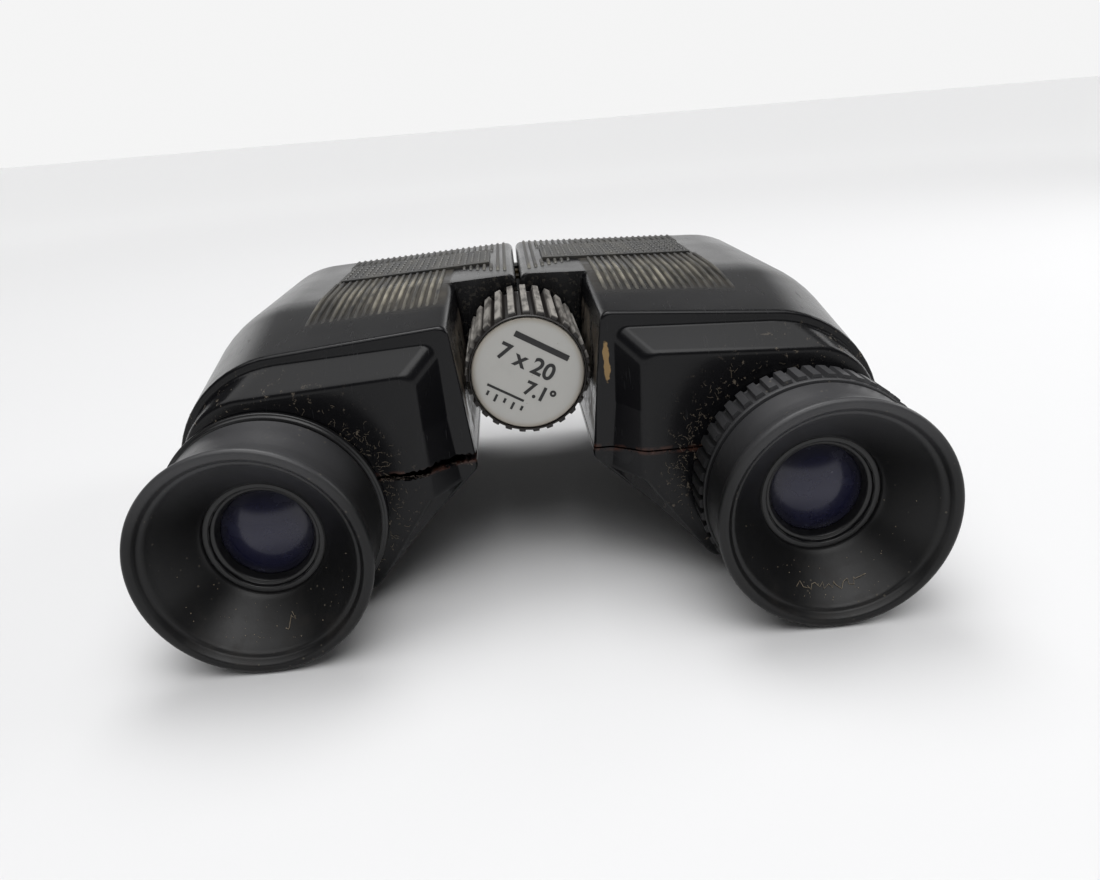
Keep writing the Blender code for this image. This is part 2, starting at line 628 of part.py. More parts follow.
def chassis(prefix, side, parent):
    """Cast frame: prism plate, objective barrel, eyepiece mount and hinge lugs in one."""
    name = prefix + "_chassis"
    start, middle, end = prism_axes()
    fit = COVER_WALL + 2 * GAP
    outline = [(side * x, z) for x, z in rounded(moved_in(rear_corners(), fit))]
    part = outline_plate(name, outline, PLATE_REAR_Y, PLATE_FRONT_Y)
    ox, ex = side * OBJECTIVE_X, side * EYE_X
    mount_rear = FACE_Y + COVER_WALL + GAP
    inside_rear = REAR_Y + COVER_WALL + GAP
    boss_low = COVER_WALL + GAP
    foot_top = EYE_Z - OCULAR_BORE - 0.3
    joined = [
        rod(name + "_barrel", BARREL_RADIUS, FOLD_Y, BARREL_FRONT_Y, ox, OBJECTIVE_Z, FINE),
        rod(name + "_neck", BARREL_RADIUS - 1.0, PLATE_REAR_Y + 0.5, FOLD_Y + 1.0, ox, OBJECTIVE_Z, FINE),
        rod(name + "_mount", OCULAR_BORE + MOUNT_WALL, mount_rear, inside_rear, ex, EYE_Z, MEDIUM),
        side_box(name + "_foot", side, (EYE_X - 5.0, mount_rear + 0.3, foot_top - 1.8),
                 (EYE_X + 2.0, inside_rear + 2.0, foot_top)),
        side_box(name + "_sole", side, (EYE_X - 4.8, inside_rear, boss_low),
                 (EYE_X + 1.8, PLATE_FRONT_Y - 0.5, foot_top - 0.4)),
        side_box(name + "_keel", side, (EYE_X - 6.5, BARREL_REAR_Y + 4.0, boss_low),
                 (EYE_X - 1.0, BARREL_REAR_Y + 12.0, OBJECTIVE_Z - 1.0)),
        side_box(name + "_bridge", side, (OBJECTIVE_X + 4.0, BARREL_REAR_Y + 4.0, OBJECTIVE_Z - 6.0),
                 (EYE_X - 2.0, BARREL_REAR_Y + 12.0, OBJECTIVE_Z - 2.0)),
    ]
    for i, (rear, front) in enumerate(lug_spans(side)):
        joined.append(rod(f"{name}_lug_{i}", LUG_RADIUS, rear, front, 0.0, HINGE_Z, MEDIUM))
        joined.append(side_box(f"{name}_web_{i}", side, (3.0, rear + 0.1, HINGE_Z - 3.0),
                               (OBJECTIVE_X, min(front - 0.1, BARREL_FRONT_Y), HINGE_Z + 4.0)))
    for item in joined:
        combine(part, item, 'UNION', 'MANIFOLD')
    arm_y = COLLAR_MIDDLE_Y
    slot = COLLAR_GROOVE_WIDTH / 2.0 + FOCUS_TRAVEL + GAP
    removed = [
        rod(name + "_neck_bore", BARREL_BORE - 1.0, PLATE_FRONT_Y, FOLD_Y + 4.0, ox, OBJECTIVE_Z, FINE),
        rod(name + "_bore", BARREL_BORE, FOLD_Y + 2.0, BARREL_FRONT_Y + 5.0, ox, OBJECTIVE_Z, FINE),
        rod(name + "_ocular_bore", OCULAR_BORE, mount_rear - 5.0, inside_rear + 0.5, ex, EYE_Z, MEDIUM),
        rod(name + "_hinge_bore", HINGE_TUBE_RADIUS + RUNNING, HINGE_REAR_Y - 5.0, FRONT_Y + 5.0,
            0.0, HINGE_Z, MEDIUM),
        side_box(name + "_prism_space", side, (middle.x - PRISM_HALF_WIDTH - 2.5, PLATE_FRONT_Y, -1.0),
                 (SIDE_X, BARREL_REAR_Y, TOP_Z)),
        side_box(name + "_arm_slot", side, (3.0, arm_y - slot, HINGE_Z - 4.0),
                 (OBJECTIVE_X - 6.0, arm_y + slot, HINGE_Z + 3.5)),
        pocket_solid(name + "_pocket_space", fit),
    ]
    for i, spot in enumerate((start, middle, end)):
        removed.append(rod(f"{name}_light_{i}", LIGHT_HOLE_RADIUS, PLATE_REAR_Y - 1.0, PLATE_FRONT_Y + 1.0,
                           side * spot.x, spot.y))
    for i, y in enumerate(SCREW_YS):
        removed.append(upright(f"{name}_screw_hole_{i}", SCREW_SHANK_RADIUS + GAP, 0.0, SCREW_LENGTH + 1.0,
                               side * screw_x(y), y))
    for item in removed:
        combine(part, item, 'DIFFERENCE', 'MANIFOLD')
    return keep(part, parent, "cast_alloy")


# ---- prisms ----------------------------------------------------------------------------------
def turned_outline(part, side, along, middle):
    """Turn and place an outline that was drawn along X about the origin."""
    angle = math.atan2(along.y, side * along.x)
    part.rotation_mode = 'XYZ'
    part.rotation_euler = (0.0, -angle, 0.0)
    part.location = (side * middle.x * MM, 0.0, middle.y * MM)


def prism(prefix, label, side, near, far, base_y, direction, parent):
    """Right-angle prism whose long face spans two light axes, and its spring strap."""
    along = (far - near).normalized()
    middle = (near + far) / 2.0
    step = (far - near).length
    half = step / 2.0 + PRISM_HALF_WIDTH
    tip = base_y + direction * (step - PRISM_APEX_FLAT)
    edge = base_y + direction * (step - half)
    outline = [(-half, base_y), (half, base_y), (half, edge), (PRISM_APEX_FLAT, tip),
               (-PRISM_APEX_FLAT, tip), (-half, edge)]
    glass = along_prism(f"{prefix}_prism_{label}", outline, PRISM_HALF_WIDTH)
    turned_outline(glass, side, along, middle)
    rounder = capsule(f"{prefix}_prism_{label}_ends", step, PRISM_HALF_WIDTH - 0.02, base_y, direction)
    turned_outline(rounder, side, along, middle)
    combine(glass, rounder, 'INTERSECT')
    keep(glass, parent, "prism_glass")

    inner = PRISM_HALF_WIDTH + GAP
    outer = inner + STRAP_THICKNESS
    crown = tip + direction * GAP
    foot = base_y + direction * GAP
    back = crown + direction * STRAP_THICKNESS
    strap = [(-outer, foot), (-outer, back), (outer, back), (outer, foot),
             (inner, foot), (inner, crown), (-inner, crown), (-inner, foot)]
    clip = across_prism(f"{prefix}_prism_{label}_strap", strap, STRAP_WIDTH / 2.0)
    turned_outline(clip, side, along, middle)
    keep(clip, parent, "steel")


def along_prism(name, outline, half_width):
    """Extrude an outline in the XY plane along Z, both ways from the plane."""
    flat = outline_plate(name, outline, -half_width, half_width)
    return baked(flat, ((1, 0, 0), (0, 1, 0), (0, 0, 1)))


def across_prism(name, outline, half_width):
    """Extrude an outline in the ZY plane along X, both ways from the plane."""
    flat = outline_plate(name, outline, -half_width, half_width)
    return baked(flat, ((0, 0, 1), (0, 1, 0), (-1, 0, 0)))


def baked(flat, rows):
    """Turn a flat extruded outline's own mesh by a rotation given as three rows."""
    for vertex in flat.data.vertices:
        place = vertex.co
        vertex.co = Vector([sum(a * b for a, b in zip(row, place)) for row in rows])
    flat.rotation_euler = (0.0, 0.0, 0.0)
    flat.location = (0.0, 0.0, 0.0)
    return flat


def capsule(name, step, radius, base_y, direction):
    """A round-ended bar that rounds the ends of a prism, seen along the light."""
    points = []
    for centre, start in ((step / 2.0, -90.0), (-step / 2.0, 90.0)):
        for k in range(9):
            angle = math.radians(start + 22.5 * k)
            points.append((centre + radius * math.cos(angle), radius * math.sin(angle)))
    ends = sorted((base_y - direction, base_y + direction * step * 1.2))
    bar = outline_plate(name, points, ends[0], ends[1])
    middle = (ends[0] + ends[1]) / 2.0
    for vertex in bar.data.vertices:
        x, z, y = vertex.co
        vertex.co = (x, middle * MM - y, z)
    bar.rotation_euler = (0.0, 0.0, 0.0)
    bar.location = (0.0, 0.0, 0.0)
    return bar


def prisms(prefix, side, parent):
    """Two prisms back to back on the plate."""
    start, middle, end = prism_axes()
    prism(prefix, "rear", side, start, middle, PLATE_REAR_Y - GAP, -1.0, parent)
    prism(prefix, "front", side, middle, end, PLATE_FRONT_Y + GAP, 1.0, parent)


# ---- objective cell ---------------------------------------------------------------------------
def objective(prefix, side, parent):
    """Sliding cell with its cemented pair, retaining ring and focusing arm."""
    x, z = side * OBJECTIVE_X, OBJECTIVE_Z
    radius = OBJECTIVE_LENS_RADIUS
    bore = radius + RUNNING
    seat = CELL_REAR_Y + 3.0
    profile = [(CELL_RADIUS, CELL_FRONT_Y), (CELL_RADIUS, CELL_REAR_Y), (radius - 1.0, CELL_REAR_Y),
               (radius - 1.0, seat), (bore, seat), (bore, CELL_FRONT_Y)]
    keep(turned(prefix + "_objective_cell", profile, x, z, FINE), parent, "black_anodised")
    flint = [(0.0, seat + 1.2), (radius * 0.5, seat + 1.6), (radius, seat + 2.7),
             (radius, seat + GAP / 2.0), (0.0, seat + GAP / 2.0)]
    crown = [(0.0, seat + 4.9), (radius * 0.5, seat + 4.6), (radius, seat + 3.8), (radius, seat + 2.9),
             (radius * 0.5, seat + 1.8), (0.0, seat + 1.4)]
    keep(turned(prefix + "_objective_flint", flint, x, z, MEDIUM), parent, "lens_glass")
    keep(turned(prefix + "_objective_crown", crown, x, z, MEDIUM), parent, "lens_glass")
    retainer = ring(prefix + "_objective_retainer", radius, radius - 0.9, seat + 4.1, CELL_FRONT_Y - 0.4,
                    x, z, MEDIUM)
    keep(retainer, parent, "black_anodised")
    width = COLLAR_GROOVE_WIDTH / 2.0 - GAP
    low = (COLLAR_GROOVE_RADIUS + GAP, COLLAR_MIDDLE_Y - width, HINGE_Z - 2.2)
    high = (OBJECTIVE_X - CELL_RADIUS - GAP + 0.1, COLLAR_MIDDLE_Y + width, HINGE_Z + 1.6)
    arm = side_box(prefix + "_focus_arm", side, low, high)
    soften(arm, 0.4)
    keep(arm, parent, "brass")


def objective_trim(prefix, side, parent):
    """Ring that closes the front wall round the objective barrel."""
    part = ring(prefix + "_objective_trim", TRIM_RADIUS, BARREL_BORE, BARREL_FRONT_Y + GAP, FRONT_Y,
                side * OBJECTIVE_X, OBJECTIVE_Z, FINE)
    keep(part, parent, "black_plastic")


# ---- eyepiece --------------------------------------------------------------------------------------
def ocular(prefix, side, rim_y, length, parent):
    """Barrel with eye lens, spacer, field lens and retaining ring."""
    x, z = side * EYE_X, EYE_Z
    lens_y = rim_y + LENS_DEPTH
    rear = lens_y - 1.3
    front = rear + length
    bore = OCULAR_RADIUS - OCULAR_WALL
    inner = bore - RUNNING
    shoulder = front - 2.0
    profile = [(OCULAR_RADIUS, front), (OCULAR_RADIUS, rear), (bore, rear), (bore, shoulder),
               (bore - 1.0, shoulder), (bore - 1.0, front)]
    keep(turned(prefix + "_ocular_barrel", profile, x, z, MEDIUM), parent, "black_anodised")
    retainer = ring(prefix + "_ocular_retainer", inner, EYE_LENS_WINDOW, rear + 0.1, lens_y - 0.1,
                    x, z, MEDIUM)
    keep(retainer, parent, "black_anodised")
    eye = [(0.0, lens_y + 2.9), (inner, lens_y + 2.4), (inner, lens_y + 0.5),
           (EYE_LENS_WINDOW * 0.5, lens_y + 0.15), (0.0, lens_y + 0.05)]
    keep(turned(prefix + "_eye_lens", eye, x, z, MEDIUM), parent, "lens_glass")
    field_rear = shoulder - 3.2
    spacer = ring(prefix + "_lens_spacer", inner, inner - 0.8, lens_y + 2.6, field_rear - 0.2, x, z)
    keep(spacer, parent, "black_anodised")
    field = [(0.0, shoulder - 0.2), (inner, shoulder - 0.2), (inner, field_rear + 0.9),
             (inner * 0.5, field_rear + 0.3), (0.0, field_rear)]
    keep(turned(prefix + "_field_lens", field, x, z), parent, "lens_glass")


def eyecup(prefix, side, rim_y, base_y, parent):
    """Rubber cup with a thick lip, a slight waist and a conical inside."""
    bore = OCULAR_RADIUS + GAP
    lip = EYECUP_RADIUS - EYECUP_LIP
    waist_y = rim_y + 0.42 * (base_y - rim_y)
    profile = [
        (EYECUP_BASE_RADIUS, base_y), (EYECUP_WAIST, waist_y), (EYECUP_RADIUS - 0.5, rim_y + 1.9),
        (EYECUP_RADIUS, rim_y + 1.1), (EYECUP_RADIUS, rim_y + 0.5), (EYECUP_RADIUS - 0.45, rim_y),
        (lip, rim_y), (lip - 0.5, rim_y + 0.6), (bore, rim_y + EYECUP_CONE_DEPTH), (bore, base_y),
    ]
    part = turned(prefix + "_eyecup", profile, side * EYE_X, EYE_Z, FINE)
    keep(part, parent, "black_rubber")


# ---- centre ------------------------------------------------------------------------------------------
def hinge_parts(root):
    """Tube that the lugs turn on, its spindle bush and its front cap."""
    tube = ring("hinge_tube", HINGE_TUBE_RADIUS, TUBE_BORE, HINGE_REAR_Y - GAP, HINGE_FRONT_Y,
                0.0, HINGE_Z, MEDIUM)
    reach = FOCUS_TRAVEL + DRIVE_PIN_RADIUS + GAP
    slot = box("hinge_tube_slot", (-DRIVE_PIN_RADIUS - GAP, COLLAR_MIDDLE_Y - reach, HINGE_Z),
               (DRIVE_PIN_RADIUS + GAP, COLLAR_MIDDLE_Y + reach, HINGE_Z + LUG_RADIUS))
    combine(tube, slot, 'DIFFERENCE')
    keep(tube, root, "steel")
    bush = ring("spindle_bush", TUBE_BORE - RUNNING, SPINDLE_RADIUS + RUNNING, HINGE_REAR_Y,
                HINGE_REAR_Y + BUSH_LENGTH, 0.0, HINGE_Z)
    keep(bush, root, "brass")
    cap = rod("hinge_front_cap", LUG_RADIUS, CAP_REAR_Y, FRONT_Y, 0.0, HINGE_Z, MEDIUM)
    keep(cap, root, "black_plastic")


def focus_knob(parent):
    """Knob with its rear disc, the screw under the disc, and the spindle."""
    rear, front = KNOB_REAR_Y, KNOB_FRONT_Y
    recess = rear + 0.1 + NAMEPLATE_THICKNESS + GAP
    seat = recess + 1.6
    bore = SPINDLE_RADIUS + RUNNING
    profile = [
        (KNOB_RADIUS - 0.8, front), (KNOB_RADIUS, front - 0.8), (KNOB_RADIUS, rear + 0.5),
        (KNOB_RADIUS - 0.4, rear),
        (NAMEPLATE_RADIUS + 0.1, rear), (NAMEPLATE_RADIUS + 0.1, recess), (2.8, recess), (2.8, seat + 0.2),
        (bore, seat + 0.2), (bore, front),
    ]
    keep(turned("focus_knob", profile, 0.0, HINGE_Z, FINE), parent, "knob_plastic")
    disc_front = rear + 0.1 + NAMEPLATE_THICKNESS
    keep(rod("knob_disc", NAMEPLATE_RADIUS - 0.05, rear + 0.1, disc_front, 0.0, HINGE_Z, FINE), parent,
         "silver_plate")
    screw = [(0.0, seat + 3.5), (0.7, seat + 3.5), (0.7, seat), (2.5, seat), (2.5, recess), (0.0, recess)]
    keep(turned("knob_screw", screw, 0.0, HINGE_Z), parent, "steel")
    spindle_end = COLLAR_MIDDLE_Y + COLLAR_LENGTH / 2.0 + FOCUS_TRAVEL + 1.0
    spindle = [(0.0, spindle_end), (SPINDLE_RADIUS, spindle_end), (SPINDLE_RADIUS, seat + 0.5),
               (0.85, seat + 0.5), (0.85, seat + 4.0), (0.0, seat + 4.0)]
    keep(turned("focus_spindle", spindle, 0.0, HINGE_Z), parent, "steel")


def focus_slider(parent):
    """Nut on the spindle's thread, grooved collar outside the tube, and the pin between."""
    middle, half = COLLAR_MIDDLE_Y, COLLAR_LENGTH / 2.0
    nut = ring("focus_nut", TUBE_BORE - RUNNING, SPINDLE_RADIUS + RUNNING, middle - half + 1.0,
               middle + half - 1.0, 0.0, HINGE_Z)
    keep(nut, parent, "brass")
    groove = COLLAR_GROOVE_WIDTH / 2.0
    bore = HINGE_TUBE_RADIUS + RUNNING
    profile = [(LUG_RADIUS, middle + half), (LUG_RADIUS, middle + groove),
               (COLLAR_GROOVE_RADIUS, middle + groove), (COLLAR_GROOVE_RADIUS, middle - groove),
               (LUG_RADIUS, middle - groove), (LUG_RADIUS, middle - half), (bore, middle - half),
               (bore, middle + half)]
    collar = turned("focus_collar", profile, 0.0, HINGE_Z, MEDIUM)
    pin_hole = upright("focus_collar_pin_hole", DRIVE_PIN_RADIUS + RUNNING, HINGE_Z + 2.0,
                       HINGE_Z + LUG_RADIUS + 2.0, 0.0, middle)
    combine(collar, pin_hole, 'DIFFERENCE')
    keep(collar, parent, "brass")
    pin = upright("focus_drive_pin", DRIVE_PIN_RADIUS, HINGE_Z + TUBE_BORE,
                  HINGE_Z + COLLAR_GROOVE_RADIUS - 0.05, 0.0, middle)
    keep(pin, parent, "steel")


def half(prefix, side, parent):
    """Everything that folds as one with a half, apart from its eyepiece."""
    cover(prefix + "_upper_cover", side, True, parent)
    cover(prefix + "_lower_cover", side, False, parent)
    cover_screws(prefix, side, parent)
    chassis(prefix, side, parent)
    prisms(prefix, side, parent)
    objective_trim(prefix, side, parent)
    slide = pivot(prefix + "_objective_slide", side * OBJECTIVE_X, 0.0, OBJECTIVE_Z, parent)
    objective(prefix, side, slide)


def main():
    """Build both halves, the centre and both eyepieces."""
    root = pivot("hinge_axis", 0.0, 0.0, HINGE_Z)
    left = pivot("left_fold", 0.0, 0.0, HINGE_Z, root)
    half("right", 1.0, root)
    half("left", -1.0, left)

    hinge_parts(root)
    focus_knob(pivot("knob_turn", 0.0, 0.0, HINGE_Z, root))
    focus_slider(pivot("collar_slide", 0.0, 0.0, HINGE_Z, root))

    ocular("left", -1.0, LEFT_RIM_Y, OCULAR_LENGTH, left)
    collar_rear = FACE_Y - GAP - COLLAR_THICKNESS
    collar = ring("left_eyepiece_collar", RING_RADIUS, OCULAR_RADIUS + GAP, collar_rear, FACE_Y - GAP,
                  -EYE_X, EYE_Z, FINE)
    keep(collar, left, "black_anodised")
    eyecup("left", -1.0, LEFT_RIM_Y, collar_rear - GAP, left)

    carrier = pivot("diopter_slide", EYE_X, 0.0, EYE_Z, root)
    turning = pivot("diopter_turn", EYE_X, 0.0, EYE_Z, carrier)
    ocular("right", 1.0, RIGHT_RIM_Y, OCULAR_LENGTH + DIOPTER_STANDOFF - DIOPTER_GAP, carrier)
    ring_front = FACE_Y - DIOPTER_GAP
    ring_rear = ring_front - DIOPTER_RING_LENGTH
    profile = [(RING_RADIUS - 0.5, ring_front), (RING_RADIUS, ring_front - 1.0),
               (RING_RADIUS, ring_rear + 0.3), (RING_RADIUS - 0.3, ring_rear),
               (OCULAR_RADIUS + GAP, ring_rear), (OCULAR_RADIUS + GAP, ring_front)]
    keep(turned("diopter_ring", profile, EYE_X, EYE_Z, FINE), turning, "black_rubber")
    eyecup("right", 1.0, RIGHT_RIM_Y, ring_rear - GAP, turning)


main()
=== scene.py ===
"""Looks for the compact folding binoculars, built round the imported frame.

Lengths are in millimetres and turned into metres where a mesh is made. The objects
sit at the origin of the frame, with their places in their meshes.
"""
import json
import logging
import math
import random
from dataclasses import dataclass, field
from enum import Enum
from typing import Callable, Sequence

import bmesh
import bpy
from mathutils import Euler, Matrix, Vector


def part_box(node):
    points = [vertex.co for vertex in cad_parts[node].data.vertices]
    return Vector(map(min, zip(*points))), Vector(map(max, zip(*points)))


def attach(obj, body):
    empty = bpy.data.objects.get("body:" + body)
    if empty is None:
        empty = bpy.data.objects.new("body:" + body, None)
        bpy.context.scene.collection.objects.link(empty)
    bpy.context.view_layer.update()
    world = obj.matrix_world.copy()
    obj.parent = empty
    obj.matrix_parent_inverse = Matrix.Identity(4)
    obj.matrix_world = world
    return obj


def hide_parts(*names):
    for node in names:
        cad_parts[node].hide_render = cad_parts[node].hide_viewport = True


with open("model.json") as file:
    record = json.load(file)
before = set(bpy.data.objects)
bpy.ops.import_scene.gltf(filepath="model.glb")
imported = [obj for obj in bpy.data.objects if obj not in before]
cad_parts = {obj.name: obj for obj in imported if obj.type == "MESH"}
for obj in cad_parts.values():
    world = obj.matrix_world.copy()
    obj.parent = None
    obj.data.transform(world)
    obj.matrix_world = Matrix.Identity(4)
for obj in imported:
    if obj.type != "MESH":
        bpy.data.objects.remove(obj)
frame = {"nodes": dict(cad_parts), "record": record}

LOG = logging.getLogger("binoculars")
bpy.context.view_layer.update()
MM = 0.001
Point2 = tuple[float, float]
Point3 = tuple[float, float, float]
Colour = tuple[float, float, float]
Corner = tuple[float, float, float]
Ring = list[Vector]


class Side(Enum):
    """Which half a piece belongs to: its sign along X."""

    LEFT = -1
    RIGHT = 1

    @property
    def label(self) -> str:
        """The half's name as nodes have it."""
        return self.name.lower()


# ---- shader maths ---------------------------------------------------------------
class Value:
    """A shader socket that Python's operators can calculate with."""

    def __init__(self, graph: "Graph", socket: bpy.types.NodeSocket) -> None:
        """Wrap one output socket of a graph."""
        self.graph = graph
        self.socket = socket

    def _maths(self, operation: str, *terms: "Value | float") -> "Value":
        """Add a Math node.

        Args:
            operation: the Math node's operation.
            terms: its inputs in order.
        Returns:
            The node's result.
        """
        links = dict(enumerate(terms))
        return self.graph.node("ShaderNodeMath", {"operation": operation}, links)

    def __add__(self, other: "Value | float") -> "Value":
        """Add."""
        return self._maths("ADD", self, other)

    __radd__ = __add__

    def __sub__(self, other: "Value | float") -> "Value":
        """Subtract."""
        return self._maths("SUBTRACT", self, other)

    def __rsub__(self, other: float) -> "Value":
        """Subtract from a number."""
        return self._maths("SUBTRACT", other, self)

    def __mul__(self, other: "Value | float") -> "Value":
        """Multiply."""
        return self._maths("MULTIPLY", self, other)

    __rmul__ = __mul__

    def __pow__(self, other: float) -> "Value":
        """Raise to a power."""
        return self._maths("POWER", self, other)

    def least(self, other: "Value | float") -> "Value":
        """The smaller of two values."""
        return self._maths("MINIMUM", self, other)

    def most(self, other: "Value | float") -> "Value":
        """The larger of two values."""
        return self._maths("MAXIMUM", self, other)

    def size(self) -> "Value":
        """The value without its sign."""
        return self._maths("ABSOLUTE", self)

    def step(self, low: float, high: float) -> "Value":
        """A soft step.

        Args:
            low: where the step starts, at 0.
            high: where it ends, at 1; below low for a falling step.
        Returns:
            A value from 0 to 1.
        """
        settings = {"interpolation_type": 'SMOOTHSTEP'}
        ends = {1: low, 2: high, 3: 0.0, 4: 1.0} if high >= low else {1: high, 2: low, 3: 1.0, 4: 0.0}
        return self.graph.node("ShaderNodeMapRange", settings, {0: self, **ends})


class Graph:
    """A material's node tree, with one method that adds any node."""

    def __init__(self, name: str) -> None:
        """Make an empty material.

        Args:
            name: the material's name.
        """
        self.material = bpy.data.materials.new(name)
        self.material.use_nodes = True
        self.tree = self.material.node_tree
        self.shader = self.tree.nodes["Principled BSDF"]
        place = self.tree.nodes.new("ShaderNodeTexCoord")
        self.place = Value(self, place.outputs["Object"])

    def node(self, kind: str, settings: dict | None = None, links: dict | None = None,
             output: int | str = 0) -> Value:
        """Add a node.

        Args:
            kind: the node's type.
            settings: its own properties, set first.
            links: values or sockets for its inputs, by name or number.
            output: which output to return.
        Returns:
            The output, wrapped.
        """
        node = self.tree.nodes.new(kind)
        for name, setting in (settings or {}).items():
            setattr(node, name, setting)
        for name, term in (links or {}).items():
            if isinstance(term, Value):
                self.tree.links.new(term.socket, node.inputs[name])
            else:
                node.inputs[name].default_value = term
        return Value(self, node.outputs[output])

    def axis(self, name: str) -> Value:
        """One coordinate of the object's own place, in millimetres."""
        split = self.node("ShaderNodeSeparateXYZ", {}, {0: self.place}, name)
        return split * 1000.0

    def noise(self, scale: float, detail: float = 3.0, roughness: float = 0.55,
              stretch: Point3 = (1.0, 1.0, 1.0)) -> Value:
        """A noise value.

        Args:
            scale: features per metre.
            detail: octaves.
            roughness: how strong the finer octaves are.
            stretch: scale along each axis.
        Returns:
            A value round 0.5.
        """
        spot = self.node("ShaderNodeMapping", {}, {0: self.place, "Scale": stretch})
        return self.node("ShaderNodeTexNoise", {}, {"Vector": spot, "Scale": scale, "Detail": detail,
                                                    "Roughness": roughness})

    def specks(self, scale: float, size: float) -> Value:
        """Sparse round specks.

        Args:
            scale: cells per metre.
            size: radius of a speck as a share of its cell.
        Returns:
            1 in a speck, 0 outside.
        """
        cells = self.node("ShaderNodeTexVoronoi", {}, {"Vector": self.place, "Scale": scale})
        return cells.step(size, size * 0.55)

    def mix(self, mask: Value | float, first: "Value | Colour", second: "Value | Colour") -> Value:
        """Mix two colours.

        Args:
            mask: 0 for the first, 1 for the second.
            first: a colour or a socket.
            second: a colour or a socket.
        Returns:
            The mixed colour.
        """
        ends = {}
        for number, term in ((6, first), (7, second)):
            ends[number] = term if isinstance(term, Value) else (*term, 1.0)
        return self.node("ShaderNodeMix", {"data_type": 'RGBA'}, {0: mask, **ends}, 2)

    def bump(self, height: Value, strength: float, distance: float) -> None:
        """Drive the normal from a height.

        Args:
            height: the height value.
            strength: how much of it to use.
            distance: height of a value of 1, in metres.
        """
        normal = self.node("ShaderNodeBump", {}, {"Height": height, "Strength": strength,
                                                  "Distance": distance})
        self.tree.links.new(normal.socket, self.shader.inputs["Normal"])

    def set(self, **sockets: "Value | float | Colour") -> None:
        """Set or link the shader's own sockets, with _ for a space in a name."""
        for name, term in sockets.items():
            socket = self.shader.inputs[name.replace("_", " ")]
            if isinstance(term, Value):
                self.tree.links.new(term.socket, socket)
            elif isinstance(term, tuple):
                socket.default_value = (*term, 1.0)
            else:
                socket.default_value = term


# ---- finishes --------------------------------------------------------------------
@dataclass(frozen=True)
class MouldedPlastic:
    """Black moulded covers: soft gloss, hairline scratches, dust in corners, worn edges."""

    name: str = "moulded_black"
    colour: Colour = (0.0030, 0.0030, 0.0037)
    dust: Colour = (0.060, 0.053, 0.042)
    pocket_dirt: Colour = (0.125, 0.103, 0.080)
    wear: Colour = (0.26, 0.17, 0.075)
    roughness: float = 0.23
    rib_span: Point2 = (10.5, 31.2)
    pocket_wall: float = 11.2
    eye_x: float = 35.75
    eye_z: float = 15.2
    seam_z: float = 19.7
    chip_place: Point3 = (10.55, -22.9, 31.6)

    def build(self) -> bpy.types.Material:
        """Return the material."""
        g = Graph(self.name)
        x, y, z = g.axis("X"), g.axis("Y"), g.axis("Z")
        across = x.size()
        cloud = g.noise(90.0, 4.0)
        fine = g.noise(1400.0, 2.0)
        scratch = g.noise(260.0, 2.0, 0.7, (9.0, 0.7, 1.0)).step(0.66, 0.72)
        lint = g.noise(900.0, 3.0, 0.75).step(0.60, 0.70)

        field_x = across.step(self.rib_span[0], self.rib_span[0] + 0.6) * across.step(
            self.rib_span[1], self.rib_span[1] - 0.6)
        field_y = y.step(-14.0, -6.0)
        on_top = z.step(36.6, 37.6)
        grime = field_x * field_y * on_top * (cloud.step(0.35, 0.62) * 0.75 + 0.15)

        pocket = (across.step(self.pocket_wall, self.pocket_wall - 1.2) * y.step(2.2, 0.8)
                  * z.step(36.6, 35.0) * y.step(-22.9, -22.3) * z.step(20.5, 23.5))
        side_dirt = pocket * g.noise(240.0, 4.0, 0.7).step(0.38, 0.66)
        gutter = across.step(10.0, 9.0) * y.step(1.5, 2.4) * y.step(4.5, 3.5)
        deep = gutter * g.noise(1800.0, 2.0).step(0.56, 0.66)

        far = ((across - self.eye_x) ** 2.0 + (z - self.eye_z) ** 2.0) ** 0.5
        near_cup = far.step(22.0, 15.5) * y.step(-19.0, -23.0)
        cup_lint = near_cup * lint * 0.8
        seam = (z - self.seam_z).size().step(0.75, 0.2) * y.step(-15.0, -22.0) * across.step(33.0, 25.0)
        seam_tint = seam * g.noise(500.0).step(0.42, 0.58)

        chip_x, chip_y, chip_z = (value - place for value, place in zip((x, y, z), self.chip_place))
        chip_far = ((chip_x * 1.9) ** 2.0 + (chip_z * 0.36) ** 2.0 + (chip_y * 0.8) ** 2.0) ** 0.5
        chip = (chip_far + (g.noise(700.0, 3.0) - 0.5) * 1.5).step(0.95, 0.80)

        pointed = g.node("ShaderNodeNewGeometry", {}, {}, "Pointiness")
        edges = pointed.step(0.53, 0.60) * cloud.step(0.45, 0.7)
        base = g.mix(cloud * 0.6, self.colour, (0.0056, 0.0056, 0.0066))
        base = g.mix(scratch * 0.2, base, (0.030, 0.030, 0.032))
        base = g.mix(edges * 0.3, base, (0.035, 0.035, 0.037))
        base = g.mix(grime * 0.75, base, self.dust)
        base = g.mix(side_dirt * 0.85, base, self.pocket_dirt)
        base = g.mix(deep * 0.45, base, self.dust)
        base = g.mix(cup_lint * 0.6, base, (0.24, 0.20, 0.15))
        base = g.mix(seam_tint * 0.7, base, (0.060, 0.026, 0.018))
        base = g.mix(chip, base, self.wear)
        dull = grime.most(side_dirt).most(cup_lint).most(chip)
        rough = self.roughness + (cloud - 0.5) * 0.16 + scratch * 0.12 + dull * 0.38
        g.bump(fine * 0.3 + scratch * -0.5 + dull * lint - chip * 2.0, 0.14, 0.00003)
        g.set(Base_Color=base, Roughness=rough, Coat_Weight=0.05, Coat_Roughness=0.12,
              Specular_IOR_Level=0.22)
        return g.material


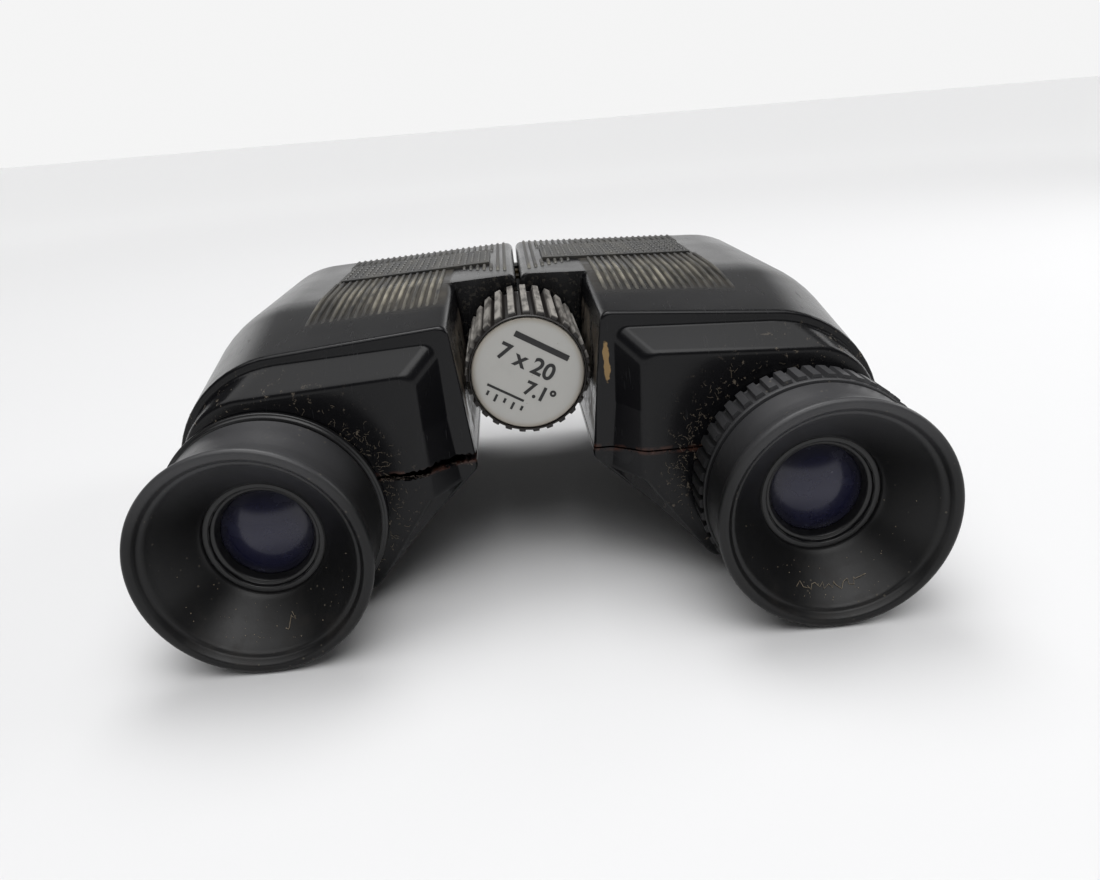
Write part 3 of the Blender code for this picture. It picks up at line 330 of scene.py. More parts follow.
@dataclass(frozen=True)
class RibPlastic:
    """Ribs of the grip field: the covers' plastic with pale dirt rubbed into it."""

    name: str = "ribbed_black"
    colour: Colour = (0.0060, 0.0060, 0.0066)
    dirt: Colour = (0.36, 0.33, 0.255)

    def build(self) -> bpy.types.Material:
        """Return the material."""
        g = Graph(self.name)
        x, y = g.axis("X"), g.axis("Y")
        streak = g.noise(420.0, 4.0, 0.65, (1.0, 0.22, 1.0))
        toward_fold = y.step(16.0, 2.0) * y.step(-13.0, -2.0)
        middle = x.size().step(33.0, 20.0) * 0.5 + 0.5
        dirt = (streak.step(0.28, 0.74) * (toward_fold * 0.8 + 0.15) * middle).least(1.0)
        base = g.mix(dirt * 0.8, self.colour, self.dirt)
        g.bump(g.noise(2200.0, 2.0), 0.25, 0.00003)
        g.set(Base_Color=base, Roughness=0.40 + dirt * 0.35, Coat_Weight=0.05)
        return g.material


@dataclass(frozen=True)
class CupRubber:
    """Matte black rubber with a fine grain, dust specks and a painted pale sheen on its upper part."""

    name: str = "cup_rubber"
    colour: Colour = (0.0036, 0.0036, 0.0040)
    dust: Colour = (0.13, 0.115, 0.09)
    roughness: float = 0.37
    dustiness: float = 0.5
    # colour of the painted sheen on the upper part, where the light from above would fall
    painted_top_sheen: Colour = (0.060, 0.060, 0.063)

    def build(self) -> bpy.types.Material:
        """Return the material."""
        g = Graph(self.name)
        cloud = g.noise(120.0, 4.0)
        grain = g.noise(3200.0, 2.0)
        specks = g.specks(900.0, 0.16) * g.noise(160.0).step(0.50, 0.62)
        low = g.axis("Z").step(12.0, 3.0)
        film = low * g.noise(260.0, 4.0, 0.7).step(0.45, 0.75)
        base = g.mix(cloud * 0.7, self.colour, (0.0095, 0.0095, 0.0100))
        base = g.mix(film * 0.3 * self.dustiness, base, (0.034, 0.026, 0.018))
        # painted sheen: the rubber's base colour is lightened towards the top, as if lit from above
        base = g.mix(g.axis("Z").step(19.0, 30.0) * (0.55 + cloud * 0.3), base, self.painted_top_sheen)
        base = g.mix(specks * self.dustiness, base, self.dust)
        rough = self.roughness + (cloud - 0.5) * 0.18 + specks * 0.2 + film * 0.12
        g.bump(grain + specks * 2.0, 0.25, 0.00003)
        g.set(Base_Color=base, Roughness=rough, Specular_IOR_Level=0.30)
        return g.material


@dataclass(frozen=True)
class DullMetal:
    """Metal or anodised pieces: turned or cast, with a slight stain."""

    name: str
    colour: Colour
    stain: Colour
    roughness: float
    metallic: float
    grain: Point3 = (1.0, 1.0, 1.0)

    def build(self) -> bpy.types.Material:
        """Return the material."""
        g = Graph(self.name)
        cloud = g.noise(180.0, 4.0)
        lines = g.noise(2600.0, 2.0, 0.5, self.grain)
        base = g.mix(cloud.step(0.40, 0.72) * 0.6, self.colour, self.stain)
        g.bump(lines, 0.2, 0.00003)
        g.set(Base_Color=base, Roughness=self.roughness + (lines - 0.5) * 0.15, Metallic=self.metallic)
        return g.material


@dataclass(frozen=True)
class SilverDisc:
    """Satin silver disc on the knob, with a faint warm rim."""

    name: str = "silver_disc"
    colour: Colour = (0.43, 0.425, 0.405)
    rim: Colour = (0.34, 0.29, 0.22)
    hinge_z: float = 30.2
    radius: float = 7.8

    def build(self) -> bpy.types.Material:
        """Return the material."""
        g = Graph(self.name)
        far = (g.axis("X") ** 2.0 + (g.axis("Z") - self.hinge_z) ** 2.0) ** 0.5
        grain = g.noise(3800.0, 2.0)
        cloud = g.noise(200.0, 3.0)
        base = g.mix(far.step(self.radius - 0.9, self.radius) * 0.6, self.colour, self.rim)
        base = g.mix(cloud.step(0.55, 0.8) * 0.25, base, (0.33, 0.325, 0.31))
        base = g.mix(g.specks(420.0, 0.05), base, (0.25, 0.22, 0.18))
        g.bump(grain, 0.15, 0.00002)
        g.set(Base_Color=base, Roughness=0.42 + (grain - 0.5) * 0.2, Metallic=0.55)
        return g.material


@dataclass(frozen=True)
class KnobPlastic:
    """Brown-black knob whose ridges are worn to a pale dusty grey."""

    name: str = "knob_plastic"
    colour: Colour = (0.0080, 0.0058, 0.0050)
    worn: Colour = (0.36, 0.34, 0.31)
    hinge_z: float = 30.2
    crest: float = 8.45

    def build(self) -> bpy.types.Material:
        """Return the material."""
        g = Graph(self.name)
        far = (g.axis("X") ** 2.0 + (g.axis("Z") - self.hinge_z) ** 2.0) ** 0.5
        streak = g.noise(700.0, 3.0, 0.6, (1.0, 0.3, 1.0))
        crest = far.step(self.crest - 0.45, self.crest + 0.1)
        behind_rim = g.axis("Y").step(-19.6, -18.9)
        dust = crest * behind_rim * (streak.step(0.34, 0.62) * 0.75 + 0.2)
        base = g.mix(dust * 0.72, self.colour, self.worn)
        g.bump(g.noise(1500.0, 3.0), 0.3, 0.00004)
        g.set(Base_Color=base, Roughness=0.42 + dust * 0.25)
        return g.material


@dataclass(frozen=True)
class CoatedGlass:
    """Lens with a violet anti-reflection coating, seen over a dark inside."""

    name: str
    axis_x: float
    axis_z: float
    radius: float
    core: Colour = (0.0085, 0.0088, 0.026)
    rim: Colour = (0.016, 0.016, 0.022)

    def build(self) -> bpy.types.Material:
        """Return the material."""
        g = Graph(self.name)
        far = ((g.axis("X") - self.axis_x) ** 2.0 + (g.axis("Z") - self.axis_z) ** 2.0) ** 0.5
        edge = far.step(self.radius * 0.62, self.radius * 0.98)
        haze = g.noise(330.0, 4.0, 0.6)
        base = g.mix(edge, self.core, self.rim)
        base = g.mix(haze.step(0.45, 0.75) * 0.4, base, (0.021, 0.023, 0.046))
        base = g.mix(g.specks(700.0, 0.10) * haze.step(0.45, 0.6) * 0.7, base, (0.10, 0.10, 0.11))
        g.set(Base_Color=base, Roughness=0.24 + haze.step(0.45, 0.8) * 0.18, Coat_Weight=0.36,
              Coat_Roughness=0.10, Coat_Tint=(0.72, 0.70, 1.0), Specular_IOR_Level=0.36, IOR=1.5)
        return g.material


@dataclass(frozen=True)
class PlainInk:
    """Dark print with slightly uneven cover."""

    name: str = "dark_print"

    def build(self) -> bpy.types.Material:
        """Return the material."""
        g = Graph(self.name)
        g.set(Base_Color=g.mix(g.noise(1800.0), (0.006, 0.006, 0.007), (0.014, 0.013, 0.013)), Roughness=0.5)
        return g.material


@dataclass(frozen=True)
class LintFibre:
    """Pale dust fibres and crumbs."""

    name: str = "lint"
    colour: Colour = (0.15, 0.115, 0.075)
    second: Colour = (0.28, 0.24, 0.18)

    def build(self) -> bpy.types.Material:
        """Return the material."""
        g = Graph(self.name)
        g.set(Base_Color=g.mix(g.noise(900.0), self.colour, self.second), Roughness=0.85)
        return g.material


@dataclass(frozen=True)
class StudioPaper:
    """Plain pale floor."""

    name: str = "studio_floor"
    colour: Colour = (0.70, 0.70, 0.705)
    second: Colour = (0.67, 0.67, 0.68)
    distant: Colour = (0.985, 0.985, 0.99)

    def build(self) -> bpy.types.Material:
        """Return the material."""
        g = Graph(self.name)
        far = (g.axis("X") ** 2.0 + g.axis("Y") ** 2.0) ** 0.5
        cloud = g.noise(14.0, 3.0)
        near = g.mix(cloud * 0.35, self.colour, self.second)
        g.set(Base_Color=g.mix(far.step(120.0, 1000.0), near, self.distant), Roughness=0.62,
              Specular_IOR_Level=0.25)
        return g.material


# ---- meshes ------------------------------------------------------------------------
@dataclass(frozen=True)
class Extent:
    """Axis, radius and ends of a round CAD piece that lies along Y, in millimetres."""

    x: float
    z: float
    radius: float
    rear: float
    front: float

    @classmethod
    def of(cls, node: str) -> "Extent":
        """Measure a node of the frame."""
        low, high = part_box(node)
        return cls((low.x + high.x) / 2.0 / MM, (low.z + high.z) / 2.0 / MM, (high.x - low.x) / 2.0 / MM,
                   low.y / MM, high.y / MM)


def publish(name: str, mesh: bpy.types.Mesh, material: bpy.types.Material, body: str,
            stands_for: Sequence[str] = (), smooth: float = 35.0) -> bpy.types.Object:
    """Put a finished mesh in the scene as a piece on a body.

    Args:
        name: the piece's name.
        mesh: its mesh, in the frame's own coordinates.
        material: its finish.
        body: the body it rides on.
        stands_for: CAD nodes it replaces.
        smooth: edges sharper than this many degrees stay sharp.
    Returns:
        The piece.
    """
    mesh.materials.clear()
    mesh.materials.append(material)
    mesh.shade_smooth()
    mesh.set_sharp_from_angle(angle=math.radians(smooth))
    piece = bpy.data.objects.new(name, mesh)
    bpy.context.scene.collection.objects.link(piece)
    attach(piece, body)
    if stands_for:
        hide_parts(*stands_for)
    LOG.info("%s: %d faces on %s", name, len(mesh.polygons), body)
    return piece


def fibre_curve(name: str, thickness: float) -> bpy.types.Curve:
    """Make an empty round curve, its thickness in millimetres from axis to skin."""
    curve = bpy.data.curves.new(name, 'CURVE')
    curve.dimensions = '3D'
    curve.bevel_depth = thickness * MM
    curve.bevel_resolution = 1
    curve.use_fill_caps = True
    return curve


def publish_curve(name: str, curve: bpy.types.Curve, finish: LintFibre, body: str) -> None:
    """Put fibres in the scene as a piece on a body.

    Args:
        name: the piece's name.
        curve: the fibres, in the frame's own coordinates.
        finish: their finish.
        body: the body they ride on.
    """
    piece = bpy.data.objects.new(name, curve)
    bpy.context.scene.collection.objects.link(piece)
    curve.materials.append(finish.build())
    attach(piece, body)
    LOG.info("%s: %d fibres on %s", name, len(curve.splines), body)


def mesh_from(shape: bmesh.types.BMesh, name: str) -> bpy.types.Mesh:
    """Close a bmesh into a mesh with its faces pointing out."""
    bmesh.ops.recalc_face_normals(shape, faces=shape.faces)
    mesh = bpy.data.meshes.new(name)
    shape.to_mesh(mesh)
    shape.free()
    return mesh


def eased(profile: Sequence[Point2], radius: float, steps: int = 3) -> list[Point2]:
    """Round every inner corner of a profile.

    Args:
        profile: points in order.
        radius: how far from a corner the rounding starts.
        steps: segments of each rounding.
    Returns:
        The rounded profile.
    """
    result = [profile[0]]
    for before, here, after in zip(profile, profile[1:], profile[2:]):
        p, q, r = Vector(before), Vector(here), Vector(after)
        back = min(radius, (p - q).length * 0.45)
        ahead = min(radius, (r - q).length * 0.45)
        start = q + (p - q).normalized() * back
        end = q + (r - q).normalized() * ahead
        for k in range(steps + 1):
            t = k / steps
            spot = start * (1 - t) ** 2 + q * (2 * t * (1 - t)) + end * t ** 2
            result.append((spot.x, spot.y))
    result.append(profile[-1])
    return result


def turned(name: str, profile: Sequence[Point2], x: float, z: float, segments: int = 96,
           shape_radius: Callable[[float, float, float], float] | None = None) -> bpy.types.Mesh:
    """Turn a profile of (radius, y) round an axis along Y.

    Args:
        name: the mesh's name.
        profile: points; a closed loop unless it starts and ends at radius 0.
        x: the axis's place.
        z: the axis's height.
        segments: facets round the axis.
        shape_radius: changes a radius from (radius, y, angle), for knurls.
    Returns:
        The mesh.
    """
    shape = bmesh.new()
    columns = []
    for k in range(segments):
        angle = math.tau * k / segments
        column = []
        for radius, y in profile:
            reach = shape_radius(radius, y, angle) if shape_radius else radius
            column.append(shape.verts.new(((x + reach * math.cos(angle)) * MM, y * MM,
                                           (z + reach * math.sin(angle)) * MM)))
        columns.append(column)
    closed = profile[0][0] > 0.0
    count = len(profile)
    for k in range(segments):
        one, two = columns[k], columns[(k + 1) % segments]
        for i in range(count if closed else count - 1):
            j = (i + 1) % count
            shape.faces.new((one[i], one[j], two[j], two[i]))
    bmesh.ops.remove_doubles(shape, verts=shape.verts, dist=0.0000005)
    return mesh_from(shape, name)


def plug(radius: float, start: float, end: float) -> list[Point2]:
    """Profile of a plain cylinder between two places along Y."""
    return [(0.0, start), (radius, start), (radius, end), (0.0, end)]


def notch(angle: float, teeth: int, crest: float, flank: float) -> float:
    """How deep the gap between teeth is at an angle.

    Args:
        angle: round the axis.
        teeth: how many there are.
        crest: where the flank starts, as a share of half a tooth's pitch.
        flank: length of the flank as the same share.
    Returns:
        0 on a tooth, 1 in a gap.
    """
    part = (angle / math.tau * teeth) % 1.0
    away = min(part, 1.0 - part) * 2.0
    return 1.0 - min(max((away - crest) / flank, 0.0), 1.0)


def bridge(shape: bmesh.types.BMesh, rows: Sequence[list[bmesh.types.BMVert]]) -> None:
    """Join rows of vertices with four-sided faces, and cap the first and the last row."""
    count = len(rows[0])
    for row, following in zip(rows, rows[1:]):
        for i in range(count):
            j = (i + 1) % count
            shape.faces.new((row[i], row[j], following[j], following[i]))
    shape.faces.new(rows[0])
    shape.faces.new(rows[-1])


def box_mesh(shape: bmesh.types.BMesh, low: Point3, high: Point3) -> None:
    """Add a box between two corners to a bmesh, in millimetres."""
    made = bmesh.ops.create_cube(shape, size=1.0)["verts"]
    size = Vector(high) - Vector(low)
    middle = (Vector(high) + Vector(low)) / 2.0
    for vertex in made:
        vertex.co = (Vector([a * b for a, b in zip(vertex.co, size)]) + middle) * MM


def rounded(corners: Sequence[Corner], counts: Sequence[int]) -> list[Point2]:
    """Round each corner (x, z, radius) of a closed outline with an arc.

    Args:
        corners: the corners in order.
        counts: points of each arc.
    Returns:
        The outline's points.
    """
    outline: list[Point2] = []
    total = len(corners)
    for i, (cx, cz, radius) in enumerate(corners):
        here = Vector((cx, cz))
        back = (Vector(corners[i - 1][:2]) - here).normalized()
        ahead = (Vector(corners[(i + 1) % total][:2]) - here).normalized()
        half = back.angle(ahead) / 2.0
        centre = here + (back + ahead).normalized() * (radius / math.sin(half))
        reach = radius / math.tan(half)
        first = here + back * reach - centre
        last = here + ahead * reach - centre
        sweep = -first.angle_signed(last)
        for k in range(counts[i]):
            turn = sweep * k / (counts[i] - 1)
            cos, sin = math.cos(turn), math.sin(turn)
            outline.append((centre.x + first.x * cos - first.y * sin,
                            centre.y + first.x * sin + first.y * cos))
    return outline


def moved_in(corners: Sequence[Corner], distance: float) -> list[Corner]:
    """Move each side of an outline in.

    Args:
        corners: corners in order, clockwise.
        distance: how far.
    Returns:
        The new corners.
    """
    total = len(corners)
    lines = []
    for i in range(total):
        start, end = Vector(corners[i][:2]), Vector(corners[(i + 1) % total][:2])
        along = (end - start).normalized()
        lines.append((start + Vector((along.y, -along.x)) * distance, along))
    result = []
    for i in range(total):
        (p, u), (q, v) = lines[i - 1], lines[i]
        cross = u.x * v.y - u.y * v.x
        meet = q if abs(cross) < 0.001 else p + u * (((q.x - p.x) * v.y - (q.y - p.y) * v.x) / cross)
        result.append((meet.x, meet.y, max(corners[i][2] - distance, 0.2)))
    return result


def eased_rings(rings: Sequence[Ring], radii: Sequence[float], steps: int = 4) -> list[Ring]:
    """Round a row of sections along its length, where a radius is given.

    Args:
        rings: sections with the same number of points.
        radii: rounding at each section, 0 to leave it.
        steps: segments of each rounding.
    Returns:
        The longer row of sections.
    """
    result = [rings[0]]
    for before, here, after, radius in zip(rings, rings[1:], rings[2:], radii[1:]):
        if radius <= 0.0:
            result.append(here)
            continue
        for k in range(steps + 1):
            t = k / steps
            row = []
            for p, q, r in zip(before, here, after):
                start = q + (p - q).normalized() * min(radius, (p - q).length * 0.45)
                end = q + (r - q).normalized() * min(radius, (r - q).length * 0.45)
                row.append(start * (1 - t) ** 2 + q * (2 * t * (1 - t)) + end * t ** 2)
            result.append(row)
    result.append(rings[-1])
    return result


def skinned(rings: Sequence[Ring], name: str) -> bpy.types.Mesh:
    """Skin a row of sections and cap both ends."""
    shape = bmesh.new()
    bridge(shape, [[shape.verts.new(point * MM) for point in ring] for ring in rings])
    return mesh_from(shape, name)


def carved(mesh: bpy.types.Mesh, tools: Sequence[tuple[bpy.types.Mesh, str]]) -> bpy.types.Mesh:
    """Apply Booleans in order.

    Args:
        mesh: what is cut.
        tools: meshes with the operation of each.
    Returns:
        The result as a new mesh.
    """
    collection = bpy.context.scene.collection
    work = bpy.data.objects.new("work", mesh)
    collection.objects.link(work)
    helpers = []
    for tool, operation in tools:
        helper = bpy.data.objects.new("tool", tool)
        collection.objects.link(helper)
        helpers.append(helper)
        step = work.modifiers.new("cut", 'BOOLEAN')
        step.operation = operation
        step.solver = 'EXACT'
        step.object = helper
    view = bpy.context.evaluated_depsgraph_get()
    view.update()
    result = bpy.data.meshes.new_from_object(work.evaluated_get(view))
    for item in (work, *helpers):
        bpy.data.objects.remove(item)
    return result


# ---- casing of a half -----------------------------------------------------------------
@dataclass
class Casing:
    """Upper and lower cover of one half, with its grip ribs, raised panel and lint."""

    side: Side
    plastic: bpy.types.Material
    rib_plastic: bpy.types.Material
    hinge_z: float
    eye_z: float
    front_y: float
    side_x: float
    middle_gap: float = 0.3
    body_length: float = 66.5
    face_depth: float = 3.3
    fold_from_rear: float = 24.5
    pocket_length: float = 25.8
    wall: float = 1.6
    seam_gap: float = 0.24
    rib_pitch: float = 1.15
    rib_width: float = 0.62
    rib_height: float = 0.34
    dash_height: float = 0.22
    panel_x: Point2 = (4.6, 30.2)
    panel_y: Point2 = (16.4, 32.0)
    panel_rise: float = 0.55
    counts: tuple[int, ...] = (6, 16, 14, 7, 5, 3)
    eye_x: float = 35.75
    objective_x: float = 19.6
    objective_z: float = 26.4
    top_rise: float = 14.0
    seam_rise: float = 4.5
    ribs_x: Point2 = (2.0, 30.9)
    ribs_rear_y: float = -13.0
    name: str = field(init=False)

    def __post_init__(self) -> None:
        """Work out the places that follow."""
        self.name = self.side.label
        self.rear_y = self.front_y - self.body_length
        self.face_y = self.rear_y - self.face_depth
        self.fold_y = self.rear_y + self.fold_from_rear
        self.pocket_y = self.rear_y + self.pocket_length
        self.top_z = self.objective_z + self.top_rise
        self.seam_z = self.eye_z + self.seam_rise

    def pocket_x(self, z: float) -> float:
        """Side wall of the knob's pocket at a height."""
        return 9.2 + (z - self.hinge_z) * 0.103

    def level(self, y: float) -> float:
        """How far the section has risen from the rear edge (0) to the level front (1)."""
        t = (y - self.rear_y) / self.fold_from_rear
        soft = 0.16
        h = min(max(0.5 + 0.5 * (1.0 - t) / soft, 0.0), 1.0)
        return (1.0 - h) + t * h - soft * h * (1.0 - h)

    def corners(self, y: float, pocket: bool) -> list[Corner]:
        """Corners of the section at a place along the body.

        Args:
            y: the place.
            pocket: whether the inner side is the pocket's wall.
        Returns:
            Six corners, clockwise from the inner top one.
        """
        s = min(self.level(y), 1.0)
        top = self.top_z - 1.4 * (1.0 - s)
        outer_top = self.top_z - 2.2 - 2.8 * (1.0 - s)
        side = self.side_x - 2.1 * (1.0 - s)
        head_z = self.hinge_z - 11.8
        inner = self.pocket_x(top) if pocket else self.middle_gap
        waist = self.pocket_x(self.hinge_z + 1.0) if pocket else self.middle_gap
        if pocket:
            top -= 0.045 * inner
        return [
            (inner, top, 1.3 if pocket else 1.2),
            (side, outer_top, 15.0 + (1.0 - s)),
            (side - 0.6 * s, 0.0, 12.0),
            (27.3, 0.0, 4.0),
            (8.0, head_z, 1.5),
            (waist, self.hinge_z + 1.0, 0.5),
        ]

    def base_corners(self) -> list[Corner]:
        """Foot of the raised rear face."""
        side = self.side_x - 2.5
        top = self.top_z - 3.1
        head = self.hinge_z - 13.3
        return [
            (self.pocket_x(top) + 1.7, top - 0.9, 2.0),
            (side, top - 2.7, 15.6),
            (side, 2.3, 10.3),
            (24.9, 2.3, 3.0),
            (self.pocket_x(head) + 2.4, head, 1.0),
            (self.pocket_x(self.hinge_z) + 2.1, self.hinge_z - 4.0, 0.4),
        ]

    def face_corners(self) -> list[Corner]:
        """The flat rear face."""
        side = self.side_x - 3.8
        top = self.top_z - 7.2
        return [
            (15.1, top, 2.0),
            (side, top - 1.7, 9.0),
            (side, 2.8, 9.0),
            (23.6, 2.8, 3.0),
            (14.8, 15.7, 1.0),
            (15.0, self.hinge_z - 5.0, 0.4),
        ]

    def ring(self, corners: Sequence[Corner], y: float) -> Ring:
        """A section as points in space."""
        return [Vector((self.side.value * x, y, z)) for x, z in rounded(corners, self.counts)]

    def outside(self) -> bpy.types.Mesh:
        """The outer form with all its rounded edges."""
        rows: list[tuple[Ring, float]] = [
            (self.ring(moved_in(self.face_corners(), 1.4), self.face_y), 0.0),
            (self.ring(self.face_corners(), self.face_y), 0.9),
            (self.ring(self.base_corners(), self.rear_y), 0.45),
            (self.ring(self.corners(self.rear_y, True), self.rear_y), 0.75),
        ]
        steps = 26
        for k in range(1, steps):
            y = self.rear_y + self.pocket_length * k / steps
            rows.append((self.ring(self.corners(y, True), y), 0.0))
        rows.append((self.ring(self.corners(self.pocket_y, True), self.pocket_y), 0.5))
        rows.append((self.ring(self.corners(self.pocket_y, False), self.pocket_y), 0.7))
        for y in (self.pocket_y + 1.5, self.pocket_y + 3.0, self.pocket_y + 6.0, self.front_y - 2.0):
            rows.append((self.ring(self.corners(y, False), y), 0.0))
        front = self.corners(self.front_y, False)
        rows.append((self.ring(front, self.front_y), 1.0))
        rows.append((self.ring(moved_in(front, 1.6), self.front_y), 0.0))
        rings = eased_rings([row for row, _ in rows], [radius for _, radius in rows])
        return skinned(rings, self.name + "_outside")

    def inside(self) -> bpy.types.Mesh:
        """The hollow that leaves the wall."""
        wall = self.wall
        rear, front = self.rear_y + wall, self.front_y - wall
        pocket = self.pocket_y + wall
        rings = [
            self.ring(moved_in(self.face_corners(), wall), self.face_y + wall),
            self.ring(moved_in(self.corners(self.rear_y, True), wall + 0.9), self.rear_y + wall * 0.8),
            self.ring(moved_in(self.corners(rear, True), wall), rear + 0.4),
            self.ring(moved_in(self.corners(self.fold_y, True), wall), self.fold_y),
            self.ring(moved_in(self.corners(pocket, True), wall), pocket),
            self.ring(moved_in(self.corners(pocket, False), wall), pocket + 0.01),
            self.ring(moved_in(self.corners(front, False), wall), front),
        ]
        return skinned(rings, self.name + "_inside")

    def build_covers(self) -> None:
        """Make both covers, parted at the seam."""
        s = self.side.value
        past = 3.0
        bar = plug(6.6, self.pocket_y - past, self.front_y + past)
        mouth = plug(11.75, self.front_y - 4.0, self.front_y + past)
        port = plug(8.6, self.face_y - past, self.face_y + past)
        shell = carved(self.outside(), [
            (self.inside(), 'DIFFERENCE'),
            (turned("channel", bar, 0.0, self.hinge_z, 72), 'DIFFERENCE'),
            (turned("mouth", mouth, s * self.objective_x, self.objective_z, 96), 'DIFFERENCE'),
            (turned("port", port, s * self.eye_x, self.eye_z, 72), 'DIFFERENCE'),
        ])
        for upper in (True, False):
            label = "upper" if upper else "lower"
            keeper = bmesh.new()
            limit = self.seam_z + (0.5 if upper else -0.5) * self.seam_gap
            low, high = (limit, 60.0) if upper else (-20.0, limit)
            box_mesh(keeper, (-80.0, -80.0, low), (80.0, 80.0, high))
            tools = [(mesh_from(keeper, "keeper"), 'INTERSECT')]
            if not upper:
                tools += self.screw_seats()
            if self.side is Side.LEFT:
                tools.append((self.crack(), 'DIFFERENCE'))
            mesh = carved(shell.copy(), tools)
            mesh = self.softened_seam(mesh, limit)
            piece = publish(f"{self.name}_{label}_shell", mesh, self.plastic, self.body(),
                            [f"{self.name}_{label}_cover"], 38.0)
            even = piece.modifiers.new("even_normals", 'WEIGHTED_NORMAL')
            even.keep_sharp = True
            even.weight = 80

    def body(self) -> str:
        """The body this half's pieces ride on."""
        return self.name + "_half"

    def screw_seats(self) -> list[tuple[bpy.types.Mesh, str]]:
        """Cutters for the counterbores of the cover screws."""
        tools = []
        for label in ("rear", "front"):
            low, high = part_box(f"{self.name}_cover_screw_{label}")
            middle = (low + high) / 2.0 / MM
            seat = bmesh.new()
            radius = 2.15 * MM
            made = bmesh.ops.create_cone(seat, cap_ends=True, segments=48, radius1=radius, radius2=radius,
                                         depth=3.0 * MM)["verts"]
            for vertex in made:
                vertex.co += Vector((middle.x, middle.y, -0.7)) * MM
            tools.append((mesh_from(seat, "seat"), 'DIFFERENCE'))
        return tools

    def softened_seam(self, mesh: bpy.types.Mesh, limit: float) -> bpy.types.Mesh:
        """Soften the edges of a cover's parting face.

        Args:
            mesh: the cover.
            limit: height of its parting face.
        Returns:
            The same mesh, changed.
        """
        shape = bmesh.new()
        shape.from_mesh(mesh)
        rim = [edge for edge in shape.edges if len(edge.link_faces) == 2
               and all(abs(vertex.co.z / MM - limit) < 0.01 for vertex in edge.verts)
               and edge.calc_face_angle(0.0) > 0.6]
        bmesh.ops.bevel(shape, geom=rim, offset=0.16 * MM, segments=2, profile=0.6, affect='EDGES',
                        clamp_overlap=True)
        shape.to_mesh(mesh)
        shape.free()
        return mesh

    def crack(self) -> bpy.types.Mesh:
        """The space of the crack along the parting line, ragged above and below."""
        scatter = random.Random(23)
        steps = 44
        upper_edge, lower_edge = [], []
        for k in range(steps + 1):
            t = k / steps
            x = self.side.value * (6.5 + 15.5 * t)
            drift = 0.30 * math.sin(5.2 * t + 0.6) + 0.12 * math.sin(17.0 * t)
            width = 0.14 + 1.1 * math.sin(math.pi * min(0.97, 0.16 + 0.84 * t)) ** 0.6
            upper_edge.append((x, self.seam_z + drift + width * scatter.uniform(0.30, 0.75)))
            lower_edge.append((x, self.seam_z + drift - width * scatter.uniform(0.30, 0.65)))
        outline = upper_edge + lower_edge[::-1]
        shape = bmesh.new()
        ends = [[shape.verts.new(Vector((x, y, z)) * MM) for x, z in outline]
                for y in (self.face_y - 1.5, self.rear_y + 2.6)]
        total = len(outline)
        for i in range(total):
            j = (i + 1) % total
            shape.faces.new((ends[0][i], ends[0][j], ends[1][j], ends[1][i]))
        for k in range(steps):
            mirror = total - 1 - k
            for end in ends:
                shape.faces.new((end[k], end[k + 1], end[mirror - 1], end[mirror]))
        return mesh_from(shape, "crack")

    def build_face_lint(self) -> None:
        """Scatter short fibres and crumbs on the rear face, most of them beside the eyepiece."""
        scatter = random.Random(31 if self.side is Side.LEFT else 37)
        curve = fibre_curve(self.name + "_face_lint", 0.021)
        for _ in range(120):
            angle = math.radians(scatter.gauss(158.0, 30.0))
            radius = 15.45 + abs(scatter.gauss(0.0, 1.5))
            x = self.eye_x + radius * math.cos(angle)
            z = self.eye_z + radius * math.sin(angle)
            slope_x = self.face_corners()[4][0] + 1.2 + max(0.0, 15.7 - z) * 0.68
            if x < slope_x or z < 4.5 or z > 31.0:
                continue
            strand = curve.splines.new('POLY')
            knots = scatter.choice((2, 3, 4, 5))
            strand.points.add(knots - 1)
            heading = scatter.uniform(0.0, math.tau)
            for knot in strand.points:
                place = Vector((self.side.value * x, self.face_y - scatter.uniform(0.02, 0.12), z))
                knot.co = (*(place * MM), 1.0)
                heading += scatter.uniform(-0.9, 0.9)
                stride = scatter.uniform(0.08, 0.30)
                x += stride * math.cos(heading)
                z += stride * math.sin(heading)
        finish = LintFibre(self.name + "_face_dust", (0.085, 0.068, 0.048), (0.16, 0.135, 0.10))
        publish_curve(self.name + "_face_lint", curve, finish, self.body())

    def top(self, x: float, y: float) -> float:
        """Height of the top surface, x being the distance from the middle plane."""
        corners = self.corners(y, False)
        (x1, z1, _), (x2, z2, _) = corners[0], corners[1]
        return z1 + (z2 - z1) * (x - x1) / (x2 - x1)

    def add_rib(self, shape: bmesh.types.BMesh, x: float, stretch: Point2, lift: float, fades: Point2,
                full: float) -> None:
        """Sweep one rib along Y.

        Args:
            shape: receives the rib.
            x: distance from the middle plane.
            stretch: first and last place along Y.
            lift: height of what it stands on above the top.
            fades: lengths over which its ends run out.
            full: its height between them.
        """
        start, end = stretch
        length = end - start
        spans = int(length / 1.6)
        ends = {0.0, 0.15, min(fades[0], length * 0.45), length - 0.15,
                length - min(fades[1], length * 0.45), length}
        marks = sorted(ends | {length * k / spans for k in range(spans)})
        half = self.rib_width / 2.0
        rows = []
        for mark in marks:
            y = start + mark
            grow = min(1.0, max(mark, 0.02) / fades[0], max(length - mark, 0.02) / fades[1])
            height = full * grow
            across = [(-half, -0.12), (-half * 0.82, height * 0.62), (-half * 0.38, height),
                      (half * 0.38, height), (half * 0.82, height * 0.62), (half, -0.12)]
            rows.append([Vector((self.side.value * (x + dx), y, self.top(x, y) + lift + dz))
                         for dx, dz in across])
        bridge(shape, [[shape.verts.new(point * MM) for point in row] for row in rows])

